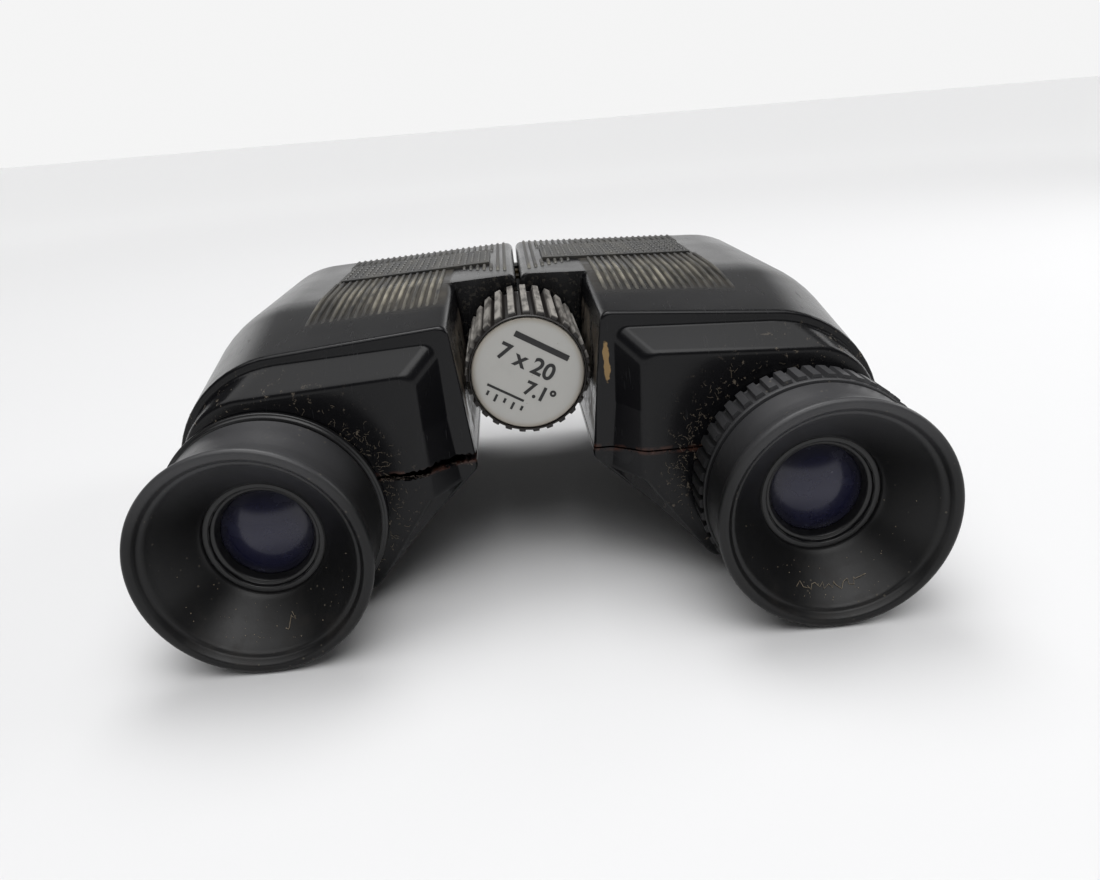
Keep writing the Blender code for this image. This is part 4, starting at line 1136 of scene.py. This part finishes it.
    def rib_stretches(self, x: float) -> list[tuple[Point2, Point2]]:
        """Where ribs run at a distance from the middle plane, with how their ends fade."""
        front = self.front_y - 1.2
        past_pocket = self.pocket_y + 4.5 + 0.9 * (x - 1.0)
        if x < self.panel_x[0] - 0.3:
            return [((past_pocket, front), (0.6, 0.6))]
        stretches = [((self.panel_y[1] + 0.5, front), (0.4, 0.6))]
        rear_end = self.panel_y[0] - 0.5
        if x > self.pocket_x(self.top_z) + 1.0:
            stretches.append(((self.ribs_rear_y, rear_end), (6.0, 0.4)))
        else:
            stretches.append(((past_pocket, rear_end), (0.6, 0.4)))
        return [item for item in stretches if item[0][1] - item[0][0] > 1.2]

    def build_ribs(self) -> None:
        """Make the field of ribs."""
        shape = bmesh.new()
        x, last = self.ribs_x
        while x < last:
            for stretch, fades in self.rib_stretches(x):
                self.add_rib(shape, x, stretch, 0.0, fades, self.rib_height)
            x += self.rib_pitch
        publish(self.name + "_grip_ribs", mesh_from(shape, "ribs"), self.rib_plastic, self.body(), (),
                50.0)

    def build_panel(self) -> None:
        """Make the raised panel with its rows of dashes."""
        shape = bmesh.new()
        (x1, x2), (y1, y2) = self.panel_x, self.panel_y
        plate = []
        for inset, rise in ((0.0, -0.2), (0.0, self.panel_rise - 0.12), (0.12, self.panel_rise)):
            row = []
            for x, y in ((x1 + inset, y1 + inset), (x2 - inset, y1 + inset), (x2 - inset, y2 - inset),
                         (x1 + inset, y2 - inset)):
                row.append(shape.verts.new(Vector((self.side.value * x, y, self.top(x, y) + rise)) * MM))
            plate.append(row)
        bridge(shape, plate)
        rise, dash, gap = self.panel_rise - 0.02, 1.5, 1.1
        columns = int((x2 - x1 - 0.6) / self.rib_pitch)
        for column in range(columns + 1):
            x = x1 + 0.75 + column * self.rib_pitch
            y = y1 + 0.5 + (0.0 if column % 2 else (dash + gap) / 2.0)
            while y + dash < y2 - 0.35:
                self.add_rib(shape, x, (y, y + dash), rise, (0.3, 0.3), self.dash_height)
                y += dash + gap
        publish(self.name + "_grip_panel", mesh_from(shape, "panel"), self.rib_plastic, self.body(), (),
                40.0)

    def build(self) -> None:
        """Make everything of the casing."""
        self.build_covers()
        self.build_ribs()
        self.build_panel()
        self.build_face_lint()


# ---- eyepiece ---------------------------------------------------------------------------
@dataclass
class Eyepiece:
    """Rubber cup, the stepped ring that holds the eye lens, and the lens."""

    side: Side
    rubber: bpy.types.Material
    ring_black: bpy.types.Material
    cup_body: str
    lens_body: str
    lens_depth: float = 9.2

    def __post_init__(self) -> None:
        """Read the axis, the rim and the base from the frame."""
        cup = Extent.of(f"{self.side.label}_eyecup")
        self.x, self.z, self.radius = cup.x, cup.z, cup.radius
        self.rim_y, self.base_y = cup.rear, cup.front

    def wall_radius(self, depth: float) -> float:
        """Radius of the cup's inner wall at a depth behind its rim."""
        return 12.2 - (depth - 2.0) * 0.76

    def build_cup(self) -> None:
        """Make the cup with a rounded lip and a groove inside it."""
        rim, base, r = self.rim_y, self.base_y, self.radius
        waist = rim + 0.42 * (base - rim)
        skin = eased([
            (8.35, base), (r - 0.45, base), (r - 1.0, waist + 1.5), (r - 1.05, waist), (r - 0.55, rim + 2.2),
            (r, rim + 1.2), (r, rim + 0.35), (r - 0.45, rim), (r - 1.15, rim + 0.05), (r - 1.5, rim + 0.55),
            (r - 1.75, rim + 1.0), (r - 2.2, rim + 1.15), (r - 2.75, rim + 1.95), (8.2, rim + 7.2),
            (7.75, rim + 7.6), (7.7, rim + 8.4), (8.35, rim + 8.45),
        ], 0.5, 3)
        publish(f"{self.side.label}_rubber_cup", turned("cup", skin, self.x, self.z, 128), self.rubber,
                self.cup_body, [f"{self.side.label}_eyecup"], 60.0)

    def build_ring(self) -> None:
        """Make the stepped black ring round the eye lens."""
        lens = self.rim_y + self.lens_depth
        skin = eased([
            (7.6, lens - 1.4), (7.1, lens - 1.45), (6.95, lens - 1.2), (6.9, lens - 0.75), (6.5, lens - 0.7),
            (6.35, lens - 0.55), (6.0, lens + 0.35), (6.0, lens + 0.7), (7.6, lens + 0.7),
        ], 0.15, 2)
        publish(f"{self.side.label}_lens_ring", turned("ring", skin, self.x, self.z, 96), self.ring_black,
                self.lens_body, [f"{self.side.label}_ocular_retainer"], 50.0)

    def build_lens(self) -> None:
        """Make the domed eye lens."""
        lens = self.rim_y + self.lens_depth
        radius, bulge = 6.3, 2.0
        skin = [(0.0, lens + 2.6), (radius, lens + 2.4)]
        steps = 14
        for k in range(steps + 1):
            reach = radius * (1.0 - k / steps)
            skin.append((reach, lens + 0.75 - bulge * (1.0 - (reach / radius) ** 2)))
        glass = CoatedGlass(f"{self.side.label}_eye_glass", self.x, self.z, radius).build()
        publish(f"{self.side.label}_eye_glass", turned("glass", skin, self.x, self.z, 96), glass,
                self.lens_body, [f"{self.side.label}_eye_lens"], 60.0)

    def build_lint(self, seed: int) -> None:
        """Scatter crumbs and a few fibres in the cup's lower half and behind the cup.

        Args:
            seed: of the scatter.
        """
        scatter = random.Random(seed)
        shape = bmesh.new()
        for _ in range(44):
            depth = scatter.uniform(2.0, 6.6)
            radius = self.wall_radius(depth) - 0.03
            angle = math.radians(scatter.gauss(-95.0, 34.0))
            spot = Vector((self.x + radius * math.cos(angle), self.rim_y + depth,
                           self.z + radius * math.sin(angle)))
            size = scatter.uniform(0.03, 0.085) * MM
            crumb = bmesh.ops.create_icosphere(shape, subdivisions=1, radius=size)
            for vertex in crumb["verts"]:
                vertex.co += spot * MM
        publish(f"{self.side.label}_cup_dust", mesh_from(shape, "dust"), LintFibre(
            f"{self.side.label}_cup_lint").build(), self.cup_body, ())
        self.build_fibre(scatter)

    def build_fibre(self, scatter: random.Random) -> None:
        """Lay one crooked fibre along the bottom of the cup.

        Args:
            scatter: the seeded source of its kinks.
        """
        curve = fibre_curve("fibre", 0.045)
        strand = curve.splines.new('POLY')
        count = 26 if self.side is Side.RIGHT else 9
        start, span = (-112.0, 46.0) if self.side is Side.RIGHT else (-80.0, 7.0)
        strand.points.add(count - 1)
        for k, knot in enumerate(strand.points):
            depth = 3.4 + scatter.uniform(-0.45, 0.45) + (1.6 * k / count if self.side is Side.LEFT else 0.0)
            radius = self.wall_radius(depth) - scatter.uniform(0.05, 0.30)
            angle = math.radians(start + span * k / (count - 1) + scatter.uniform(-1.6, 1.6))
            knot.co = ((self.x + radius * math.cos(angle)) * MM, (self.rim_y + depth) * MM,
                       (self.z + radius * math.sin(angle)) * MM, 1.0)
        publish_curve(f"{self.side.label}_cup_fibre", curve, LintFibre(f"{self.side.label}_fibre"),
                      self.cup_body)

    def build(self) -> None:
        """Make everything of the eyepiece."""
        self.build_cup()
        self.build_ring()
        self.build_lens()
        self.build_lint(11 if self.side is Side.LEFT else 7)


@dataclass
class EyepieceRings:
    """The plain collar of the left eyepiece and the knurled dioptre ring of the right one."""

    black: bpy.types.Material
    rubber: bpy.types.Material
    teeth: int = 50
    tooth_height: float = 0.7
    bore: float = 8.3

    def build_collar(self) -> None:
        """Make the left collar with a fine step."""
        place = Extent.of("left_eyepiece_collar")
        r, rear, front = place.radius, place.rear, place.front
        skin = eased([(self.bore, rear), (r - 0.5, rear), (r - 0.3, rear + 0.25), (r - 0.05, rear + 0.3),
                      (r, rear + 0.5), (r, front), (self.bore, front),
                      (self.bore, (rear + front) / 2.0)], 0.12, 2)
        publish("left_collar", turned("collar", skin, place.x, place.z, 128), self.black, "left_half",
                ["left_eyepiece_collar"], 50.0)

    def build_ring(self) -> None:
        """Make the dioptre ring, with square teeth cut round it."""
        place = Extent.of("diopter_ring")
        r, rear, front = place.radius, place.rear, place.front
        per_tooth = 8

        def toothed(radius: float, y: float, angle: float) -> float:
            """Cut the gaps between teeth into the knurled band."""
            if radius < r - 0.35 or not rear + 0.8 < y < front - 0.7:
                return radius
            return radius - self.tooth_height * notch(angle, self.teeth, 0.24, 0.16)

        root = r - self.tooth_height
        skin = [(self.bore, rear), (r - 0.55, rear), (r - 0.4, rear + 0.15), (r - 0.4, rear + 0.5),
                (root, rear + 0.8), (root, rear + 0.85), (r, rear + 0.9), (r, rear + 2.0), (r, front - 1.5),
                (r - 0.12, front - 0.85), (root, front - 0.75), (root, front - 0.7), (root - 0.3, front),
                (self.bore, front)]
        mesh = turned("ring", skin, place.x, place.z, self.teeth * per_tooth, toothed)
        publish("dioptre_ring_knurled", mesh, self.rubber, "dioptre", ["diopter_ring"], 32.0)

    def build(self) -> None:
        """Make both rings."""
        self.build_collar()
        self.build_ring()


# ---- knob --------------------------------------------------------------------------------
@dataclass
class FocusKnob:
    """Ridged knob with its silver disc and the print on it."""

    plastic: bpy.types.Material
    disc: bpy.types.Material
    ink: bpy.types.Material
    ridges: int = 27
    ridge_height: float = 1.15
    print_turn: float = 31.0

    def __post_init__(self) -> None:
        """Read the knob's size and place from the frame."""
        knob = Extent.of("focus_knob")
        self.z, self.radius, self.rear, self.front = knob.z, knob.radius, knob.rear, knob.front

    def build_grip(self) -> None:
        """Make the knob: a plain rim behind long square ridges."""
        r, rear, front = self.radius, self.rear, self.front
        root = r - self.ridge_height

        def ridged(radius: float, y: float, angle: float) -> float:
            """Cut the grooves between ridges."""
            if radius < r - 0.2 or not rear + 0.4 < y < front - 0.3:
                return radius
            return radius - self.ridge_height * notch(angle, self.ridges, 0.40, 0.12)

        skin = [(1.5, front), (6.9, front), (root, front - 0.3), (root, front - 0.32),
                (r - 0.05, front - 0.4), (r, front - 0.7), (r, (rear + front) / 2.0), (r, rear + 0.8),
                (r - 0.12, rear + 0.5), (r - 0.6, rear + 0.46), (r - 0.52, rear + 0.38), (r - 0.5, rear + 0.2),
                (r - 0.56, rear + 0.06), (r - 0.62, rear), (r - 0.7, rear), (r - 0.76, rear + 0.12),
                (r - 0.78, rear + 1.0), (1.5, rear + 1.0)]
        per_ridge = 14
        mesh = turned("knob", skin, 0.0, self.z, self.ridges * per_ridge, ridged)
        publish("ridged_knob", mesh, self.plastic, "knob", ["focus_knob"], 32.0)

    def build_disc(self) -> None:
        """Make the slightly domed disc."""
        place = Extent.of("knob_disc")
        r, rear, front = place.radius - 0.12, place.rear, place.front
        skin = [(0.0, front), (r, front), (r, rear + 0.25), (r - 0.06, rear + 0.12), (r - 0.2, rear + 0.05)]
        skin += [(r * (1.0 - k / 6.0) * 0.96, rear + 0.04 - 0.04 * k / 6.0) for k in range(1, 6)]
        skin.append((0.0, rear))
        publish("silver_face", turned("disc", skin, 0.0, self.z, 128), self.disc, "knob", ["knob_disc"],
                40.0)

    def print_line(self, name: str, words: str, size: float, x: float, z: float, shear: float = 0.0) -> None:
        """Print a line of plain figures on the disc.

        Args:
            name: the piece's name.
            words: figures and signs.
            size: height of the type.
            x: place across the disc before it is turned.
            z: place up the disc before it is turned.
            shear: slant of the type.
        """
        curve = bpy.data.curves.new(name, 'FONT')
        curve.body = words
        curve.size = size * MM
        curve.shear = shear
        curve.align_x = 'CENTER'
        curve.align_y = 'CENTER'
        curve.extrude = 0.012 * MM
        curve.offset = 0.09 * MM
        text = bpy.data.objects.new(name, curve)
        bpy.context.scene.collection.objects.link(text)
        turn = math.radians(-self.print_turn)
        spot = Vector((x * math.cos(turn) - z * math.sin(turn), 0.0,
                       x * math.sin(turn) + z * math.cos(turn)))
        text.rotation_euler = Euler((math.pi / 2.0, -turn, 0.0), 'XYZ')
        text.location = (Vector((0.0, self.rear + 0.085, self.z)) + spot) * MM
        bpy.context.view_layer.update()
        view = bpy.context.evaluated_depsgraph_get()
        mesh = bpy.data.meshes.new_from_object(text.evaluated_get(view))
        mesh.transform(text.matrix_world)
        bpy.data.objects.remove(text)
        publish(name, mesh, self.ink, "knob", ())

    def print_bar(self, name: str, low: Point2, high: Point2) -> None:
        """Print a plain bar in place of a line of words.

        Args:
            name: the piece's name.
            low: lower left corner on the disc before it is turned.
            high: upper right corner.
        """
        shape = bmesh.new()
        box_mesh(shape, (low[0], self.rear + 0.075, low[1]), (high[0], self.rear + 0.1, high[1]))
        turn = math.radians(-self.print_turn)
        for vertex in shape.verts:
            x, z = vertex.co.x, vertex.co.z
            vertex.co.x = x * math.cos(turn) - z * math.sin(turn)
            vertex.co.z = x * math.sin(turn) + z * math.cos(turn) + self.z * MM
        publish(name, mesh_from(shape, name), self.ink, "knob", ())

    def build(self) -> None:
        """Make the knob, its disc and its print."""
        self.build_grip()
        self.build_disc()
        self.print_line("print_power", "7 x 20", 3.3, -0.9, 1.35)
        self.print_line("print_field", "7.1°", 2.8, 2.7, -1.9)
        self.print_bar("print_bar_top", (-4.1, 3.9), (4.1, 4.75))
        self.print_bar("print_bar_low", (-4.4, -3.95), (1.2, -3.6))
        for k in range(5):
            x = -4.0 + 1.3 * k
            self.print_bar(f"print_tick_{k}", (x, -5.6 if k % 2 else -5.2), (x + 0.35, -4.5))


# ---- front end and small pieces --------------------------------------------------------------
@dataclass
class ObjectiveEnd:
    """Trim ring with grooves inside it, retaining ring and lens at the front of a half."""

    side: Side
    plastic: bpy.types.Material
    black: bpy.types.Material

    def build(self) -> None:
        """Make the visible front end."""
        place = Extent.of(f"{self.side.label}_objective_trim")
        x, z, r, rear, front = place.x, place.z, place.radius, place.rear, place.front
        skin = [(r, rear), (r, front - 0.2), (r - 0.2, front), (10.9, front), (10.7, front - 0.2)]
        y = front - 0.35
        while y > rear + 0.2:
            skin += [(10.42, y), (10.62, y - 0.2)]
            y -= 0.4
        skin.append((10.5, rear))
        publish(f"{self.side.label}_front_trim", turned("trim", skin, x, z, 128), self.plastic,
                f"{self.side.label}_half", [f"{self.side.label}_objective_trim"], 30.0)

        tip = Extent.of(f"{self.side.label}_objective_cell").front
        body = f"{self.side.label}_objective"
        hold = eased([(9.55, tip), (9.2, tip - 0.05), (8.7, tip - 1.6), (8.62, tip - 2.4),
                      (9.55, tip - 2.4), (9.6, tip - 1.2)], 0.12, 2)
        publish(f"{self.side.label}_front_ring", turned("hold", hold, x, z, 96), self.black, body,
                [f"{self.side.label}_objective_retainer"], 40.0)
        lens = Extent.of(f"{self.side.label}_objective_crown")
        top, bottom, radius = lens.front, lens.rear, 9.3
        dome = [(0.0, bottom), (radius, bottom + 1.0), (radius, top - 1.25)]
        dome += [(radius * (1.0 - k / 12.0), top - 1.25 * (1.0 - k / 12.0) ** 2) for k in range(1, 13)]
        glass = CoatedGlass(f"{self.side.label}_front_glass", x, z, radius, (0.007, 0.014, 0.015),
                            (0.018, 0.016, 0.026)).build()
        publish(f"{self.side.label}_front_glass", turned("glass", dome, x, z, 96), glass, body,
                [f"{self.side.label}_objective_crown"], 60.0)


@dataclass
class SmallPieces:
    """Hinge cap and the cover screws."""

    plastic: bpy.types.Material
    steel: bpy.types.Material

    def build_cap(self) -> None:
        """Make the cap at the hinge's front end, with a shallow dish."""
        place = Extent.of("hinge_front_cap")
        r, rear, front = place.radius, place.rear, place.front
        skin = eased([(0.0, rear), (r, rear), (r, front), (r - 1.2, front), (r - 1.6, front - 0.4),
                      (0.0, front - 0.4)], 0.3, 3)
        publish("hinge_cap_face", turned("cap", skin, 0.0, place.z, 96), self.plastic, "right_half",
                ["hinge_front_cap"], 40.0)

    def build_screws(self) -> None:
        """Make the cross-slotted cover screws."""
        for side in Side:
            for label in ("rear", "front"):
                node = f"{side.label}_cover_screw_{label}"
                low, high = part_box(node)
                x, y = (low.x + high.x) / 2.0 / MM, (low.y + high.y) / 2.0 / MM
                base = low.z / MM
                shape = bmesh.new()
                profile = [(0.0, base + 4.0), (0.8, base + 4.0), (0.8, base + 0.55), (1.75, base + 0.5),
                           (1.8, base + 0.25), (1.6, base + 0.06), (0.9, base)]
                head = turned("screw", [*profile, (0.0, base)], 0.0, 0.0, 48)
                shape.from_mesh(head)
                for vertex in shape.verts:
                    px, py, pz = vertex.co
                    vertex.co = (px + x * MM, pz + y * MM, py)
                slots = []
                for width, depth in ((1.15, 0.2), (0.2, 1.15)):
                    cut = bmesh.new()
                    box_mesh(cut, (x - width, y - depth, base - 1.0), (x + width, y + depth, base + 0.32))
                    slots.append((mesh_from(cut, "slot"), 'DIFFERENCE'))
                mesh = carved(mesh_from(shape, node), slots)
                publish(f"{side.label}_{label}_screw", mesh, self.steel, f"{side.label}_half", [node])

    def build(self) -> None:
        """Make the cap and the screws."""
        self.build_cap()
        self.build_screws()


@dataclass
class SeamGlue:
    """Old glue and dirt that bulge out of the left half's cracked parting line."""

    finish: bpy.types.Material
    seam_z: float
    rear_y: float
    beads: int = 150

    def build(self) -> None:
        """Lay beads of dirt along the crack."""
        scatter = random.Random(5)
        shape = bmesh.new()
        for k in range(self.beads):
            t = k / (self.beads - 1)
            if t < 0.35:
                spot = Vector((-(8.5 + 3.5 * t / 0.35), self.rear_y, self.seam_z))
            elif t < 0.6:
                u = (t - 0.35) / 0.25
                spot = Vector((-(12.0 + 3.0 * u), self.rear_y - 3.2 * u, self.seam_z))
            else:
                u = (t - 0.6) / 0.4
                spot = Vector((-(15.0 + 6.5 * u), self.rear_y - 3.3, self.seam_z))
            spot += Vector((scatter.uniform(-0.2, 0.2), scatter.uniform(-0.02, 0.3),
                            scatter.uniform(-0.75, -0.3)))
            size = scatter.uniform(0.03, 0.11) * MM
            bead = bmesh.ops.create_icosphere(shape, subdivisions=1, radius=size)
            for vertex in bead["verts"]:
                vertex.co = Vector((vertex.co.x * 1.6, vertex.co.y, vertex.co.z)) + spot * MM
        publish("left_seam_dirt", mesh_from(shape, "dirt"), self.finish, "left_half", ())


# ---- studio ---------------------------------------------------------------------------------------
@dataclass
class Studio:
    """Floor, soft lights and camera."""

    camera_place: Point3 = (-1.01, -136.8, 62.5)
    camera_turn: Point3 = (70.072, 4.521, -3.238)
    lens: float = 28.78
    sky_power: float = 2.45
    sky_spread: float = 80.0
    sky_aim: Point3 = (0.05, 0.12, -1.0)
    room_dim: float = 0.07
    wall_bright: float = 0.91

    def build_floor(self) -> None:
        """Make a wide plain floor."""
        shape = bmesh.new()
        box_mesh(shape, (-60000.0, -60000.0, -40.0), (60000.0, 60000.0, 0.0))
        mesh = mesh_from(shape, "floor")
        mesh.materials.append(StudioPaper().build())
        floor = bpy.data.objects.new("floor", mesh)
        bpy.context.scene.collection.objects.link(floor)

    def add_light(self, name: str, place: Point3, target: Point3, size: float, power: float) -> None:
        """Add a square soft light.

        Args:
            name: the light's name.
            place: in millimetres.
            target: what it points at.
            size: side of the square, in metres.
            power: in watts.
        """
        light = bpy.data.lights.new(name, 'AREA')
        light.shape = 'SQUARE'
        light.size = size
        light.energy = power
        item = bpy.data.objects.new(name, light)
        item.location = Vector(place) * MM
        aim = Vector(target) - Vector(place)
        item.rotation_euler = aim.to_track_quat('-Z', 'Y').to_euler()
        bpy.context.scene.collection.objects.link(item)

    def build_lights(self) -> None:
        """A wide soft sky light, and three soft boxes for the edges."""
        sky = bpy.data.lights.new("soft_sky", 'SUN')
        sky.energy = self.sky_power
        sky.angle = math.radians(self.sky_spread)
        item = bpy.data.objects.new("soft_sky", sky)
        item.rotation_euler = Vector(self.sky_aim).to_track_quat('-Z', 'Y').to_euler()
        bpy.context.scene.collection.objects.link(item)
        self.add_light("overhead", (-40.0, 200.0, 520.0), (0.0, 0.0, 20.0), 0.30, 1.05)
        self.add_light("high_behind", (70.0, -270.0, 430.0), (0.0, -20.0, 20.0), 0.26, 0.42)
        self.add_light("right", (420.0, 120.0, 260.0), (0.0, 0.0, 25.0), 0.22, 0.5)

    def build_room(self) -> None:
        """A white wall up to a low height all round, and a dim room above it."""
        world = bpy.data.worlds.new("room")
        world.use_nodes = True
        tree = world.node_tree
        place = tree.nodes.new("ShaderNodeTexCoord")
        split = tree.nodes.new("ShaderNodeSeparateXYZ")
        tree.links.new(place.outputs["Generated"], split.inputs[0])
        height = tree.nodes.new("ShaderNodeMapRange")
        height.interpolation_type = 'SMOOTHSTEP'
        tree.links.new(split.outputs["Z"], height.inputs[0])
        height.inputs[1].default_value = 0.16
        height.inputs[2].default_value = 0.30
        height.inputs[3].default_value = self.wall_bright
        height.inputs[4].default_value = self.room_dim
        back = tree.nodes["Background"]
        back.inputs[0].default_value = (1.0, 1.0, 1.0, 1.0)
        tree.links.new(height.outputs[0], back.inputs[1])
        bpy.context.scene.world = world
        bpy.context.scene.view_settings.view_transform = 'Standard'

    def build_camera(self) -> None:
        """Place the camera."""
        camera = bpy.data.cameras.new("camera")
        camera.lens = self.lens
        camera.sensor_width = 36.0
        camera.clip_start = 0.005
        item = bpy.data.objects.new("camera", camera)
        item.location = Vector(self.camera_place) * MM
        item.rotation_euler = Euler([math.radians(angle) for angle in self.camera_turn], 'XYZ')
        bpy.context.scene.collection.objects.link(item)
        bpy.context.scene.camera = item

    def build(self) -> None:
        """Make the studio."""
        self.build_camera()
        self.build_floor()
        self.build_lights()
        self.build_room()


def dress_frame() -> None:
    """Give every CAD node that stays in view its finish, by its slot in the record."""
    finishes = {
        "cover_plastic": DullMetal("inner_plastic", (0.005, 0.005, 0.0055), (0.011, 0.011, 0.011), 0.4, 0.0),
        "cup_rubber": DullMetal("inner_rubber", (0.005, 0.005, 0.0055), (0.011, 0.011, 0.011), 0.6, 0.0),
        "cast_alloy": DullMetal("cast_frame", (0.008, 0.008, 0.0085), (0.022, 0.020, 0.018), 0.5, 0.3),
        "black_anodised": DullMetal("blackened_metal", (0.0055, 0.0055, 0.006), (0.013, 0.013, 0.013),
                                    0.42, 0.4),
        "silver_disc": DullMetal("bright_metal", (0.60, 0.60, 0.58), (0.40, 0.38, 0.35), 0.4, 0.8),
        "steel": DullMetal("turned_steel", (0.42, 0.42, 0.43), (0.25, 0.23, 0.21), 0.35, 1.0),
        "brass": DullMetal("turned_brass", (0.16, 0.11, 0.05), (0.035, 0.026, 0.015), 0.45, 1.0),
        "knob_plastic": DullMetal("inner_knob", (0.020, 0.016, 0.015), (0.04, 0.035, 0.03), 0.5, 0.0),
        "coated_glass": DullMetal("inner_glass", (0.03, 0.03, 0.06), (0.05, 0.05, 0.09), 0.08, 0.0),
        "prism_glass": DullMetal("prism_glass", (0.30, 0.34, 0.34), (0.38, 0.42, 0.42), 0.06, 0.0),
    }
    slots = {item["node"]: item["material_slot"] for item in frame["record"]["subparts"]}
    made = {name: finish.build() for name, finish in finishes.items()}
    for name, node in frame["nodes"].items():
        node.data.materials.clear()
        node.data.materials.append(made[slots[name]])


def main() -> None:
    """Build every sub-assembly in order."""
    logging.basicConfig(level=logging.INFO, format="%(name)s: %(message)s")
    Studio().build()
    dress_frame()
    plastic = MouldedPlastic().build()
    ribs = RibPlastic().build()
    rubber = CupRubber().build()
    ring_rubber = CupRubber("ring_rubber", (0.0055, 0.0055, 0.006), (0.14, 0.125, 0.10), 0.36, 0.9).build()
    black = DullMetal("black_ring", (0.0045, 0.0045, 0.005), (0.010, 0.010, 0.011), 0.32, 0.1).build()
    trim = DullMetal("front_plastic", (0.0050, 0.0050, 0.0056), (0.011, 0.011, 0.011), 0.33, 0.0).build()
    steel = DullMetal("screw_steel", (0.40, 0.40, 0.41), (0.22, 0.20, 0.18), 0.35, 1.0,
                      (1.0, 1.0, 6.0)).build()
    grit = DullMetal("seam_grit", (0.035, 0.026, 0.020), (0.12, 0.10, 0.075), 0.8, 0.0).build()

    hinge_z = Extent.of("hinge_front_cap").z
    eye_z = Extent.of("left_eyecup").z
    casings = {}
    for side in Side:
        low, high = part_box(f"{side.label}_upper_cover")
        reach = max(abs(low.x), abs(high.x)) / MM
        casings[side] = Casing(side, plastic, ribs, hinge_z, eye_z, high.y / MM, reach)
        casings[side].build()
    Eyepiece(Side.LEFT, rubber, black, "left_half", "left_half").build()
    Eyepiece(Side.RIGHT, rubber, black, "dioptre", "right_eyepiece").build()
    EyepieceRings(black, ring_rubber).build()
    FocusKnob(KnobPlastic().build(), SilverDisc().build(), PlainInk().build()).build()
    for side in Side:
        ObjectiveEnd(side, trim, black).build()
    SmallPieces(trim, steel).build()
    cracked = casings[Side.LEFT]
    SeamGlue(grit, cracked.seam_z, cracked.rear_y).build()


if __name__ == "__main__":
    main()
